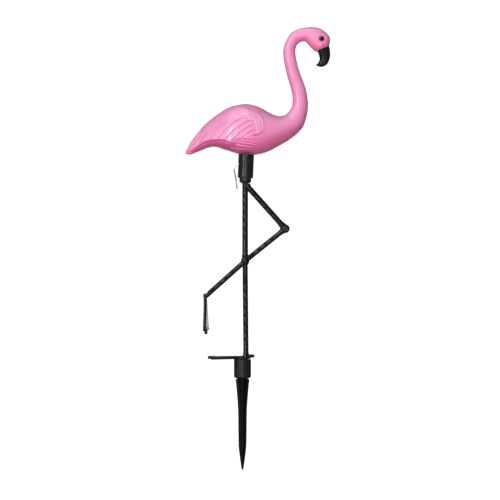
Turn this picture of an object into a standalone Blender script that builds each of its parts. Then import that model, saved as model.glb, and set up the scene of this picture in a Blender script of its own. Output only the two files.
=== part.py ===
"""Solar flamingo garden light.

A pink moulded flamingo stands on one black leg with the other leg bent across it.
A battery housing plugs into the belly, the legs plug into the housing, and the
standing foot plugs into a collar that carries a ground spike.  Metres, +Z up,
the bird looks along +X, and z = 0 is the soil line at the top of the collar.
"""

import math

import bmesh
import bpy
from mathutils import Matrix, Vector
from mathutils.bvhtree import BVHTree


# Fits shared by every joint between pieces
FIT_GAP = 0.0003            # clearance all round a plug, seat or bead
SEAM_GAP = 0.0003           # clearance between two faces that meet

# Bird
BIRD_LENGTH = 0.1705        # tail tip to forehead, the bird's shares are of this
BODY_SIDES = 18             # points round each body section
FEATHER_STEP = 0.0010       # height of one flight feather over the next
COVERT_STEP = 0.0016        # height of the covert patch over the flank
FAN_STEP = 0.0006           # height of the small feathers under the wing
SKIN_ROOT = 0.0020          # depth that feather skins run into the body

# Eyes and beak
EYE_RADIUS = 0.0028
EYE_PROUD = 0.0013          # how far an eye bead stands out of the head
EYE_DISH_RADIUS = 0.0038    # rim of the shallow hollow round each eye
BEAK_PLUG_RADIUS = 0.0030
BEAK_PLUG_LENGTH = 0.0045

# Solar panel in the back
PANEL_LENGTH = 0.026
PANEL_WIDTH = 0.018
PANEL_THICKNESS = 0.0016
PANEL_CORNER = 0.0022
PANEL_SINK = 0.0004         # top of the panel below the lowest edge of its recess

# Battery housing
HOUSING_LEAN = math.radians(2.4)
HOUSING_RADIUS = 0.0091
HOUSING_LENGTH = 0.0268     # barrel that shows below the belly
HOUSING_PLUG = 0.0062       # barrel hidden in the belly
STEP_RADIUS = 0.0070
STEP_LENGTH = 0.0059
STEP_ROUND = 0.0026
HOUSING_CHAMFER = 0.0006

# Battery pull tab
TAB_WIDTH = 0.0060
TAB_THICKNESS = 0.0003
TAB_INSERT = 0.0040         # length of the tab inside the slit
SLIT_SHARE = 0.575          # slit's height as a share of the barrel

# Legs, all in the plane y = 0
HUB_HEIGHT = 0.1149         # hub where the legs cross, above the soil line
THIGH_HEIGHT = 0.0913       # hub up to the underside of the housing
LEG_X = 0.0031              # straight leg forward of the collar's axis
LEG_RADIUS = 0.0034
LEG_PLUG_RADIUS = 0.0038
LEG_PLUG_LENGTH = 0.0080
STUB_SHARE = 0.97           # stub of the fork against the leg
FORK_BALL_SHARE = 1.04
SHIN_TAPER = 0.97           # ankle end of the shin against its hub end
FORK_FORWARD = 0.0031       # bent thigh leaves this far forward of the straight leg
FORK_DROP = 0.0041          # and turns this far below the housing
KNEE_REACH = 0.0471         # knee forward of the straight leg
KNEE_RISE = 0.0379          # knee above the hub
KNEE_RADIUS = 0.0052
SHIN_RADIUS = 0.0030
ANKLE_REACH = 0.0469        # ankle behind the straight leg
ANKLE_DROP = 0.0420         # ankle below the hub
HUB_RADIUS = 0.0049
HUB_TALL = 0.0059           # half height of the hub ball
HUB_SEAT_SHARE = 0.80       # shank's shoulder as a share of the hub's half height
SHANK_SEAT_SHARE = 1.25     # bore that clears the shank's shoulder

# Standing shank and feet
SHANK_RADIUS = 0.0030
SHANK_FOOT_RADIUS = 0.0031
SHANK_PLUG_RADIUS = 0.0018
SHANK_PLUG_LENGTH = 0.0060
SHANK_FOOT_X = 0.0041       # shank forward of the collar's axis at the foot
FOOT_LENGTH = 0.0448        # heel to the tip of the middle toe
FOOT_SPREAD = math.radians(18.5)
SIDE_TOE_SHARE = 0.955      # side toes against the middle toe
WEB_SCALLOP_SHARE = 0.13    # how far the web draws back between toes
WEB_THICKNESS = 0.0018
TOE_RADIUS = 0.0019
TOE_HEEL_RADIUS = 0.0014
TOE_LIFT = 0.80             # toe axis above the underside, in toe radii
WEB_SHORT_SHARE = 0.03      # web short of the toe tips
HEEL_RADIUS = 0.0015        # half width of the web at the heel
INSTEP_HEIGHT = 0.0090      # fillet from the foot up the shank
INSTEP_ROOT = 1.3           # fillet's foot against the shank
INSTEP_TOP = 0.92
HIND_TOE_LENGTH = 0.0082
HIND_TOE_LIFT = 1.8         # its tip above the underside, in toe radii
HIND_TOE_ROOT = 1.1         # its root against the toe radius
SHANK_SHOULDER = 1.1        # shank's shoulder at the hub against the shank
BOSS_LOW = 0.86             # boss under the foot against the collar
BOSS_TOP = 0.80
FOOT_PLUG_RADIUS = 0.0050
FOOT_PLUG_LENGTH = 0.0090

# Raised foot, hung from an upright ankle block that the shin is let on to
RAISED_YAW = math.radians(6.0)
RAISED_TILT = math.radians(0.5)
RAISED_HEEL_RISE = 0.0010   # heel of the foot above the end of the shin
ANKLE_BLOCK_RADIUS = 0.00225
ANKLE_BLOCK_RISE = 0.0039   # block above the end of the shin
ANKLE_BLOCK_DROP = 0.0090   # block below the end of the shin
ANKLE_PEG_RADIUS = 0.0013
ANKLE_PEG_LENGTH = 0.0055
SADDLE_GAP = 0.0005         # clearance of the shin's saddle round the block
SADDLE_SETBACK = 0.0012     # end of the shin back from the block's axis

# Collar and ground spike
COLLAR_RADIUS = 0.01005
COLLAR_HEIGHT = 0.0228
COLLAR_CHAMFER = 0.0016
COLLAR_EDGE = 0.0005
SPIKE_PLUG_RADIUS = 0.0062
SPIKE_PLUG_LENGTH = 0.0100
SPIKE_NECK = 0.0009         # bare neck between the collar and the ring
RING_RADIUS = 0.0086
RING_HEIGHT = 0.0022
SPIKE_LENGTH = 0.1051       # ring down to the tip
SPIKE_TOP_HALF = 0.0080     # half width of the fins at the ring
SPIKE_WAIST_HALF = 0.0051   # half width at the waist
SPIKE_LOW_HALF = 0.0047     # half width where the point starts
SPIKE_TIP_HALF = 0.0010
SPIKE_WAIST_AT = 0.38       # waist as a share of the spike's length
SPIKE_POINT_AT = 0.72       # start of the point as a share of the spike's length
FIN_HALF = 0.0013           # half thickness of a fin
CORE_SHARE = 0.52           # round core against the fins' half width
FIN_LIMIT = 0.55            # thickest fin against the half width
CORE_OVER_FIN = 1.25        # thinnest core against a fin
FIN_ROOT_AT = 0.60          # where a fin leaves the core, against the half width
FIN_RIM = 0.80              # rim of a fin against its root
UPPER_CURVE = 1.4           # how fast the fins narrow under the ring
POINT_CURVE = 1.25          # how fast the point closes
RING_EDGE = 0.85            # ring's rims against its waist
RING_ROUND = 0.35           # ring's rounding as a share of its height
SPIKE_ROWS = 14
ROUND_SIDES = 14
SLIVER = 0.00002            # edges shorter than this are closed up after a union
BALL_ROLL = 0.17            # keeps a ball's edges off the edges of the bars it joins

# Body sections from the tail tip to the beak, in thousandths of the bird's
# length from the seat on the housing: upper x, upper z, lower x, lower z,
# half width, sag of the widest line, flattening of the crest
BODY_SECTIONS = (
    (-420, 21, -418, 7, 5, 0.00, 0.00),
    (-401, 56, -377, 6, 25, 0.18, 0.00),
    (-367, 113, -329, 25, 54, 0.30, 0.00),
    (-277, 220, -229, 55, 123, 0.38, 0.00),
    (-160, 307, -129, 29, 170, 0.36, 0.10),
    (-91, 339, -74, 12, 183, 0.30, 0.22),
    (-12, 353, -9, 1, 188, 0.22, 0.26),
    (53, 345, 70, 3, 185, 0.16, 0.18),
    (111, 321, 153, 25, 170, 0.10, 0.06),
    (163, 292, 235, 68, 146, 0.05, 0.00),
    (208, 273, 307, 113, 120, 0.00, 0.00),
    (246, 273, 362, 160, 97, 0.00, 0.00),
    (280, 289, 399, 213, 77, 0.00, 0.00),
    (315, 344, 425, 334, 57, 0.00, 0.00),
    (313, 435, 409, 459, 50, 0.00, 0.00),
    (279, 557, 364, 585, 45, 0.00, 0.00),
    (255, 690, 339, 692, 42, 0.00, 0.00),
    (268, 776, 343, 748, 40, 0.00, 0.00),
    (325, 856, 367, 776, 41, 0.00, 0.00),
    (429, 883, 404, 784, 46, 0.00, 0.00),
    (507, 875, 437, 750, 57, 0.00, 0.00),
    (566, 829, 470, 719, 61, 0.00, 0.00),
    (578, 796, 486, 714, 56, 0.00, 0.00),
    (571, 753, 490, 719, 46, 0.00, 0.00),
)
RINGS_PER_SPAN = 2
FINE_RINGS_PER_SPAN = 8
FINE_SIDES = 72

# Beak sections in the same shares: outer x, outer z, inner x, inner z, half width
BEAK_SECTIONS = (
    (571, 750, 490, 716, 38),
    (577, 718, 497, 698, 35),
    (578, 690, 503, 675, 32),
    (574, 664, 504, 658, 29),
    (557, 628, 495, 638, 23),
    (531, 611, 489, 631, 17),
    (507, 609, 484, 628, 11),
    (480, 617, 478, 625, 4),
)
BEAK_SIDES = 14
BEAK_GROOVE = 0.86          # section drawn in along the line between the mandibles
BEAK_GROOVE_AT = 0.29       # that line as a share of the way round the section

# Grooves between the flight feathers, root then tip, from the tail forward
FLIGHT_GROOVES = (
    ((-300, 178), (-372, 44), 0.06),
    ((-263, 163), (-323, 71), 0.08),
    ((-116, 243), (-254, 101), 0.095),
    ((-8, 265), (-201, 107), 0.09),
    ((31, 243), (-149, 107), 0.07),
    ((50, 216), (-103, 102), 0.05),
    ((58, 181), (-32, 121), 0.04),
    ((63, 146), (-10, 114), 0.03),
)
FLIGHT_ROWS = 6
TIP_SCALLOP = 0.03          # how far each feather tip rounds back at its edges

# Rear and front edge of the covert patch, top to bottom
COVERT_EDGE = ((-88, 305), (-39, 284), (7, 270), (21, 248), (56, 235), (68, 197), (60, 152))
SHOULDER_EDGE = ((40, 316), (88, 298), (108, 265), (137, 221), (131, 190), (115, 160), (92, 140))
COVERT_ROWS = 8

# Lines of the small feathers under the wing, rear then front
FAN_LINES = (
    ((-70, 109), (108, 92)),
    ((-92, 91), (100, 72)),
    ((-112, 75), (80, 55)),
    ((-126, 58), (38, 41)),
)
FAN_ROWS = 6

EYE_PLACE = (517, 797)
CREST_PLACE = (-12, 353)


# Scene set-up

def clear_scene():
    """Remove what the file already holds."""
    for item in list(bpy.data.objects):
        bpy.data.objects.remove(item, do_unlink=True)
    for group in list(bpy.data.collections):
        bpy.data.collections.remove(group)


def new_collection(name):
    """Make a collection in the scene."""
    group = bpy.data.collections.new(name)
    bpy.context.scene.collection.children.link(group)
    return group


def plastic(name, color, roughness):
    """Principled material for one kind of plastic."""
    material = bpy.data.materials.new(name)
    material.use_nodes = True
    shader = material.node_tree.nodes["Principled BSDF"]
    shader.inputs["Base Color"].default_value = (*color, 1.0)
    shader.inputs["Roughness"].default_value = roughness
    shader.inputs["Metallic"].default_value = 0.0
    material.diffuse_color = (*color, 1.0)
    return material


# Mesh helpers

def mesh_object(name, mesh_builder, group):
    """Turn a bmesh into a linked object with outward faces."""
    bmesh.ops.recalc_face_normals(mesh_builder, faces=mesh_builder.faces[:])
    mesh = bpy.data.meshes.new(name)
    mesh_builder.to_mesh(mesh)
    mesh_builder.free()
    item = bpy.data.objects.new(name, mesh)
    group.objects.link(item)
    return item


def loft(name, rings, group):
    """Skin a row of equal rings and close both ends."""
    builder = bmesh.new()
    rows = [[builder.verts.new(point) for point in ring] for ring in rings]
    for near, far in zip(rows, rows[1:]):
        for index in range(len(near)):
            after = (index + 1) % len(near)
            builder.faces.new((near[index], near[after], far[after], far[index]))
    builder.faces.new(rows[0])
    builder.faces.new(rows[-1])
    return mesh_object(name, builder, group)


def rod(name, start, end, start_radius, end_radius, group, sides=ROUND_SIDES, roll=0.0):
    """Round bar or cone between two points, rolled about its own axis."""
    start, end = Vector(start), Vector(end)
    along = end - start
    turn = along.to_track_quat("Z", "Y").to_matrix().to_4x4() @ Matrix.Rotation(roll, 4, "Z")
    builder = bmesh.new()
    bmesh.ops.create_cone(builder, cap_ends=True, segments=sides, radius1=start_radius,
                          radius2=end_radius, depth=along.length,
                          matrix=Matrix.Translation((start + end) / 2) @ turn)
    return mesh_object(name, builder, group)


def ball(name, centre, radii, group, sides=ROUND_SIDES, rows=8):
    """Sphere, squashed to three radii."""
    builder = bmesh.new()
    squash = Matrix.Diagonal((*radii, 1.0)) @ Matrix.Rotation(BALL_ROLL, 4, "Z")
    bmesh.ops.create_uvsphere(builder, u_segments=sides, v_segments=rows, radius=1.0,
                              matrix=Matrix.Translation(centre) @ squash)
    return mesh_object(name, builder, group)


def block(name, low, high, group):
    """Box between two corners."""
    low, high = Vector(low), Vector(high)
    size = Matrix.Diagonal((*(high - low), 1.0))
    builder = bmesh.new()
    bmesh.ops.create_cube(builder, size=1.0,
                          matrix=Matrix.Translation((low + high) / 2) @ size)
    return mesh_object(name, builder, group)


def mirrored(item, group):
    """Copy of a piece on the other side of the plane y = 0."""
    builder = bmesh.new()
    builder.from_mesh(item.data)
    bmesh.ops.transform(builder, matrix=Matrix.Scale(-1.0, 4, (0.0, 1.0, 0.0)),
                        verts=builder.verts[:])
    return mesh_object(item.name + "_far", builder, group)


def turned(name, profile, frame, group, sides=24):
    """Turn a profile of (radius, height), top to bottom, about the frame's own Z."""
    rings = []
    for radius, height in profile:
        angles = (2 * math.pi * index / sides for index in range(sides))
        rings.append([frame @ Vector((radius * math.cos(a), radius * math.sin(a), height))
                      for a in angles])
    return loft(name, rings, group)


def plate(name, outline, low, high, group):
    """Flat outline, extruded from one height to another."""
    rings = [[Vector((x, y, z)) for x, y in outline] for z in (low, high)]
    return loft(name, rings, group)


def boolean(target, tool, operation):
    """Add one exact Boolean to a piece."""
    step = target.modifiers.new(tool.name, "BOOLEAN")
    step.operation = operation
    step.object = tool
    step.solver = "EXACT"


def fuse(target, tools):
    """Unite tools into the target for good and drop them."""
    for tool in tools:
        boolean(target, tool, "UNION")
    graph = bpy.context.evaluated_depsgraph_get()
    mesh = bpy.data.meshes.new_from_object(target.evaluated_get(graph))
    builder = bmesh.new()
    builder.from_mesh(mesh)
    bmesh.ops.remove_doubles(builder, verts=builder.verts[:], dist=SLIVER)
    bmesh.ops.dissolve_degenerate(builder, edges=builder.edges[:], dist=SLIVER)
    loose = [edge for edge in builder.edges if not edge.link_faces]
    bmesh.ops.delete(builder, geom=loose, context="EDGES")
    bmesh.ops.triangulate(builder, faces=builder.faces[:])
    builder.to_mesh(mesh)
    builder.free()
    target.modifiers.clear()
    target.data = mesh
    for tool in tools:
        bpy.data.objects.remove(tool, do_unlink=True)


def cut(target, cutter):
    """Cut with a tool that stays in the file as a wire guide."""
    cutter.hide_render = True
    cutter.display_type = "WIRE"
    boolean(target, cutter, "DIFFERENCE")


def finish(item, material):
    """Give a piece its material and smooth its round faces."""
    item.data.materials.clear()
    item.data.materials.append(material)
    item.data.shade_smooth()
    item.data.set_sharp_from_angle(angle=math.radians(40))


# Places worked out from the sizes

HUB = Vector((LEG_X, 0.0, HUB_HEIGHT))
HOUSING_FOOT = Vector((LEG_X, 0.0, HUB_HEIGHT + THIGH_HEIGHT))
HOUSING_AXIS = Vector((math.sin(HOUSING_LEAN), 0.0, math.cos(HOUSING_LEAN)))
HOUSING_FRAME = Matrix.Translation(HOUSING_FOOT) @ Matrix.Rotation(HOUSING_LEAN, 4, "Y")
SEAT = HOUSING_FOOT + HOUSING_AXIS * (STEP_LENGTH + HOUSING_LENGTH)
FORK = HOUSING_FOOT + Vector((FORK_FORWARD, 0.0, -FORK_DROP))
KNEE = HUB + Vector((KNEE_REACH, 0.0, KNEE_RISE))
ANKLE = HUB - Vector((ANKLE_REACH, 0.0, ANKLE_DROP))


def bird_point(x_share, z_share, across=0.0):
    """A place on the bird from its shares, in the plane of symmetry or beside it."""
    scale = BIRD_LENGTH / 1000.0
    return SEAT + Vector((x_share * scale, across * scale, z_share * scale))


def curve_row(rows, place):
    """Read a table of numbers at a fractional row on a smooth curve."""
    last = len(rows) - 1
    index = min(int(place), last - 1)
    share = place - index
    before = rows[max(index - 1, 0)]
    here = rows[index]
    there = rows[index + 1]
    after = rows[min(index + 2, last)]
    values = []
    for a, b, c, d in zip(before, here, there, after):
        bend = (2 * b, c - a, 2 * a - 5 * b + 4 * c - d, 3 * b - a - 3 * c + d)
        values.append(0.5 * (bend[0] + share * (bend[1] + share * (bend[2] + share * bend[3]))))
    return values


def body_ring(values, sides):
    """One closed body section."""
    upper_x, upper_z, lower_x, lower_z, half_width, sag, crest = values
    points = []
    for index in range(sides):
        angle = 2 * math.pi * index / sides
        up, out = math.cos(angle), math.sin(angle)
        power = 1.0 - crest if up > 0 else 1.0
        out_share = math.copysign(abs(out) ** power, out)
        up_share = math.copysign(abs(up) ** power, up) - sag * out * out
        blend = (1.0 + up_share) / 2
        points.append(bird_point(lower_x + (upper_x - lower_x) * blend,
                                 lower_z + (upper_z - lower_z) * blend,
                                 half_width * out_share))
    return points


def body_rings(per_span, sides):
    """All the body's sections, finer or coarser."""
    count = (len(BODY_SECTIONS) - 1) * per_span
    return [body_ring(curve_row(BODY_SECTIONS, step / per_span), sides)
            for step in range(count + 1)]


def smooth_surface():
    """Fine copy of the body's skin for placing feathers and eyes."""
    rings = body_rings(FINE_RINGS_PER_SPAN, FINE_SIDES)
    points = [point for ring in rings for point in ring]
    faces = []
    for row in range(len(rings) - 1):
        for index in range(FINE_SIDES):
            after = (index + 1) % FINE_SIDES
            base = row * FINE_SIDES
            faces.append((base + index, base + after,
                          base + FINE_SIDES + after, base + FINE_SIDES + index))
    return BVHTree.FromPolygons(points, faces)


def flank_point(surface, x_share, z_share, side):
    """Where the flank lies under a place in the side view, and its outward normal."""
    aim = bird_point(x_share, z_share)
    start = aim + Vector((0.0, side * BIRD_LENGTH, 0.0))
    place, normal, _, _ = surface.ray_cast(start, Vector((0.0, -side, 0.0)))
    if place is None:
        place, normal, _, _ = surface.find_nearest(aim)
    if normal.dot(place - Vector((place.x, 0.0, aim.z))) < 0:
        normal = -normal
    return place, normal


# Feather skins

def feather_skin(name, surface, columns, side, group):
    """Closed patch that stands proud of the flank; columns hold (x, z, height)."""
    outer, inner = [], []
    for column in columns:
        for x_share, z_share, height in column:
            place, normal = flank_point(surface, x_share, z_share, side)
            outer.append(place + normal * height)
            inner.append(place - normal * SKIN_ROOT)
    builder = bmesh.new()
    top = [builder.verts.new(point) for point in outer]
    floor = [builder.verts.new(point) for point in inner]
    rows = len(columns[0])
    for column in range(len(columns) - 1):
        for row in range(rows - 1):
            corner = column * rows + row
            loop = (corner, corner + 1, corner + rows + 1, corner + rows)
            builder.faces.new([top[index] for index in loop])
            builder.faces.new([floor[index] for index in reversed(loop)])
    border = list(range(rows))
    border += [column * rows + rows - 1 for column in range(1, len(columns))]
    border += [(len(columns) - 1) * rows + row for row in range(rows - 2, -1, -1)]
    border += [column * rows for column in range(len(columns) - 2, 0, -1)]
    for here, after in zip(border, border[1:] + border[:1]):
        builder.faces.new((top[after], top[here], floor[here], floor[after]))
    bmesh.ops.triangulate(builder, faces=builder.faces[:])
    return mesh_object(name, builder, group)


def groove_point(root, tip, bulge, share):
    """Point along one bowed groove, in shares."""
    run = (tip[0] - root[0], tip[1] - root[1])
    bow = 4 * bulge * share * (1 - share)
    return (root[0] + run[0] * share + run[1] * bow,
            root[1] + run[1] * share - run[0] * bow)


def between(first, second, share):
    """Point part of the way from one place to another."""
    return tuple(a + (b - a) * share for a, b in zip(first, second))


def flight_feathers(surface, side, group):
    """Row of long feathers, each standing over the next one forward."""
    edges = ((0.03, 0.10), (0.5, 0.70), (0.96, 1.0))
    columns = []
    for index in range(len(FLIGHT_GROOVES) - 1):
        rear, front = FLIGHT_GROOVES[index], FLIGHT_GROOVES[index + 1]
        for across, lift in edges:
            column = []
            reach = 1.0 - TIP_SCALLOP * (2 * across - 1) ** 2
            for row in range(FLIGHT_ROWS):
                share = reach * row / (FLIGHT_ROWS - 1)
                place = between(groove_point(*rear, share), groove_point(*front, share), across)
                fade = 0.35 + 0.65 * min(1.0, 2.0 * share)
                height = FEATHER_STEP * lift * fade
                if index == 0 and across < 0.4:
                    height = -0.5 * FEATHER_STEP
                column.append((*place, height))
            columns.append(column)
    return feather_skin("flight_feathers", surface, columns, side, group)


def resampled(points, count):
    """Even places along a line of points."""
    places = []
    for step in range(count):
        place = step * (len(points) - 1) / (count - 1)
        index = min(int(place), len(points) - 2)
        places.append(between(points[index], points[index + 1], place - index))
    return places


def covert_feathers(surface, side, group):
    """Short feathers at the shoulder, stepped down on to the flight feathers."""
    profile = ((0.0, 1.0), (0.30, 0.62), (0.34, 0.95), (0.66, 0.58), (0.70, 0.85), (1.0, 0.5))
    rear = resampled(COVERT_EDGE, COVERT_ROWS)
    front = resampled(SHOULDER_EDGE, COVERT_ROWS)
    columns = []
    for across, lift in profile:
        column = []
        for row in range(COVERT_ROWS):
            fade = min(1.0, 0.25 + row / 3.0)
            column.append((*between(rear[row], front[row], across), COVERT_STEP * lift * fade))
        columns.append(column)
    return feather_skin("covert_feathers", surface, columns, side, group)


def fan_feathers(surface, side, group):
    """Low lines of small feathers that fan out under the wing."""
    columns = []
    for upper, lower in zip(FAN_LINES, FAN_LINES[1:]):
        for across, lift in ((0.04, 0.35), (0.95, 1.0)):
            column = []
            for row in range(FAN_ROWS):
                share = row / (FAN_ROWS - 1)
                place = between(between(*upper, share), between(*lower, share), across)
                fade = math.sin(math.pi * share) * 1.5 - 0.5
                column.append((*place, FAN_STEP * min(lift, lift * fade)))
            columns.append(column)
    return feather_skin("fan_feathers", surface, columns, side, group)


# Bird

def make_body(parts, cutters, material):
    """Body, neck and head in one moulding, with wings, sockets and the panel recess."""
    body = loft("flamingo_body", body_rings(RINGS_PER_SPAN, BODY_SIDES), parts)
    surface = smooth_surface()
    near = [flight_feathers(surface, -1, cutters),
            covert_feathers(surface, -1, cutters),
            fan_feathers(surface, -1, cutters)]
    far = [mirrored(skin, cutters) for skin in near]
    fuse(body, near + far)
    finish(body, material)

    socket_depth = HOUSING_PLUG + SEAM_GAP
    mouth = SEAT - HOUSING_AXIS * HOUSING_RADIUS
    bore = HOUSING_RADIUS + FIT_GAP
    cut(body, rod("housing_socket", mouth, SEAT + HOUSING_AXIS * socket_depth,
                  bore, bore, cutters, sides=24))
    return body, surface


def panel_outline(length, width, corner):
    """Rectangle with rounded corners about the crest of the back."""
    centre = bird_point(*CREST_PLACE)
    points = []
    for quarter in range(4):
        sign_x = (1, -1, -1, 1)[quarter]
        sign_y = (1, 1, -1, -1)[quarter]
        for step in range(4):
            angle = math.pi / 2 * (quarter + step / 3)
            points.append((centre.x + sign_x * (length / 2 - corner) + corner * math.cos(angle),
                           sign_y * (width / 2 - corner) + corner * math.sin(angle)))
    return points


def panel_top(surface):
    """Height of the panel: just under the lowest corner of its recess."""
    centre = bird_point(*CREST_PLACE)
    heights = []
    for sign_x in (-1, 1):
        for share_y in (0, 1):
            start = Vector((centre.x + sign_x * PANEL_LENGTH / 2,
                            share_y * PANEL_WIDTH / 2, centre.z + BIRD_LENGTH))
            place, _, _, _ = surface.ray_cast(start, Vector((0.0, 0.0, -1.0)))
            heights.append(place.z)
    return min(heights) - PANEL_SINK


def make_panel(body, surface, parts, cutters, material):
    """Flat solar panel lying in a recess between the wings."""
    top = panel_top(surface)
    outline = panel_outline(PANEL_LENGTH, PANEL_WIDTH, PANEL_CORNER)
    panel = plate("solar_panel", outline, top - PANEL_THICKNESS, top, parts)
    finish(panel, material)
    wide = panel_outline(PANEL_LENGTH + 2 * FIT_GAP, PANEL_WIDTH + 2 * FIT_GAP,
                         PANEL_CORNER + FIT_GAP)
    floor = top - PANEL_THICKNESS - SEAM_GAP
    cut(body, plate("panel_recess", wide, floor, floor + BIRD_LENGTH / 10, cutters))


def make_eyes(body, surface, parts, cutters, material):
    """Black bead on each side of the head, in a shallow hollow."""
    for side, name in ((-1, "right"), (1, "left")):
        place, normal = flank_point(surface, *EYE_PLACE, side)
        centre = place - normal * (EYE_RADIUS - EYE_PROUD)
        eye = ball(f"eye_{name}", centre, (EYE_RADIUS,) * 3, parts, sides=12, rows=8)
        finish(eye, material)
        hole = EYE_RADIUS + FIT_GAP
        cut(body, ball(f"eye_socket_{name}", centre, (hole,) * 3, cutters, sides=12, rows=8))
        dish = 3 * EYE_DISH_RADIUS
        lift = math.sqrt(dish ** 2 - EYE_DISH_RADIUS ** 2)
        cut(body, ball(f"eye_dish_{name}", place + normal * lift, (dish,) * 3, cutters,
                       sides=30, rows=18))


def beak_ring(values):
    """One section of the beak, nipped in along the line between its halves."""
    outer_x, outer_z, inner_x, inner_z, half_width = values
    points = []
    nip = round(BEAK_SIDES * BEAK_GROOVE_AT)
    nips = (nip, BEAK_SIDES - nip)
    for index in range(BEAK_SIDES):
        angle = 2 * math.pi * index / BEAK_SIDES
        draw = BEAK_GROOVE if index in nips else 1.0
        blend = (1.0 + draw * math.cos(angle)) / 2
        points.append(bird_point(inner_x + (outer_x - inner_x) * blend,
                                 inner_z + (outer_z - inner_z) * blend,
                                 half_width * draw * math.sin(angle)))
    return points


def make_beak(body, parts, cutters, material):
    """Hooked black beak that plugs into the end of the head."""
    end = BODY_SECTIONS[-1]
    upper, lower = bird_point(*end[0:2]), bird_point(*end[2:4])
    inward = Vector((0.0, 1.0, 0.0)).cross(upper - lower).normalized()
    if inward.z < 0:
        inward = -inward
    drop = -inward * SEAM_GAP
    count = 2 * (len(BEAK_SECTIONS) - 1)
    rings = [beak_ring(curve_row(BEAK_SECTIONS, step / 2)) for step in range(count + 1)]
    seam = (upper + lower) / 2 + drop
    rings[0] = [point - inward * (point - seam).dot(inward) for point in rings[0]]
    beak = loft("beak", rings, parts)
    centre = seam - inward * BEAK_PLUG_RADIUS / 2
    top = seam + inward * BEAK_PLUG_LENGTH
    fuse(beak, [rod("beak_plug", centre, top, BEAK_PLUG_RADIUS, BEAK_PLUG_RADIUS, cutters)])
    finish(beak, material)
    bore = BEAK_PLUG_RADIUS + FIT_GAP
    cut(body, rod("beak_bore", centre, top + inward * SEAM_GAP, bore, bore, cutters))


# Battery housing

def make_housing(parts, cutters, material):
    """Leaning barrel with a rounded step below, bored for the legs."""
    barrel_foot = STEP_LENGTH
    barrel_top = STEP_LENGTH + HOUSING_LENGTH + HOUSING_PLUG
    profile = [(HOUSING_RADIUS - HOUSING_CHAMFER, barrel_top),
               (HOUSING_RADIUS, barrel_top - HOUSING_CHAMFER),
               (HOUSING_RADIUS, barrel_foot + HOUSING_CHAMFER),
               (HOUSING_RADIUS - HOUSING_CHAMFER, barrel_foot),
               (STEP_RADIUS, barrel_foot)]
    for step in range(4):
        angle = math.pi / 2 * step / 3
        profile.append((STEP_RADIUS - STEP_ROUND * (1 - math.cos(angle)),
                        STEP_ROUND * (1 - math.sin(angle))))
    housing = turned("battery_housing", profile, HOUSING_FRAME, parts)
    finish(housing, material)
    bore = LEG_PLUG_RADIUS + FIT_GAP
    low = HOUSING_FOOT - HOUSING_AXIS * STEP_ROUND
    high = HOUSING_FOOT + HOUSING_AXIS * (LEG_PLUG_LENGTH + SEAM_GAP)
    cut(housing, rod("leg_bore", low, high, bore, bore, cutters))
    return housing


def tab_ring(centre, along, yaw):
    """Four corners of the pull tab's section."""
    across = Vector((math.sin(yaw), math.cos(yaw), 0.0))
    face = along.cross(across).normalized()
    corners = []
    for wide, thick in ((1, 1), (-1, 1), (-1, -1), (1, -1)):
        corners.append(centre + across * (wide * TAB_WIDTH / 2)
                       + face * (thick * TAB_THICKNESS / 2))
    return corners


def make_pull_tab(housing, parts, cutters, material):
    """Clear strip that comes out of a slit in the housing and hangs down behind it."""
    rear = Matrix.Rotation(HOUSING_LEAN, 3, "Y") @ Vector((-1.0, 0.0, 0.0))
    slit_height = STEP_LENGTH + HOUSING_LENGTH * SLIT_SHARE
    mouth = HOUSING_FOOT + HOUSING_AXIS * slit_height + rear * HOUSING_RADIUS
    inside = mouth - rear * TAB_INSERT
    # Route after the slit: back, down and yaw of the strip, in metres and degrees
    route = ((0.0008, 0.0002, 0.0), (0.0026, 0.0016, 2.0), (0.0043, 0.0036, 6.0),
             (0.0050, 0.0058, 10.0), (0.0044, 0.0090, 13.0), (0.0031, 0.0150, 14.0),
             (0.0022, 0.0220, 13.0), (0.0013, 0.0288, 12.0))
    stations = [(inside, 0.0), (mouth, 0.0)]
    for back, down, yaw in route:
        stations.append((mouth + Vector((-back, 0.0, -down)), math.radians(yaw)))
    rings = []
    for index, (place, yaw) in enumerate(stations):
        before = stations[max(index - 1, 0)][0]
        after = stations[min(index + 1, len(stations) - 1)][0]
        rings.append(tab_ring(place, (after - before).normalized(), yaw))
    tab = loft("battery_pull_tab", rings, parts)
    finish(tab, material)
    half_width = TAB_WIDTH / 2 + FIT_GAP
    half_height = TAB_THICKNESS / 2 + FIT_GAP
    depth = TAB_INSERT + SEAM_GAP
    slit = block("tab_slit", (-depth, -half_width, -half_height),
                 (HOUSING_RADIUS, half_width, half_height), cutters)
    turn = rear.to_track_quat("X", "Z").to_matrix().to_4x4()
    slit.data.transform(Matrix.Translation(mouth) @ turn)
    cut(housing, slit)


# Legs and feet

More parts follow.
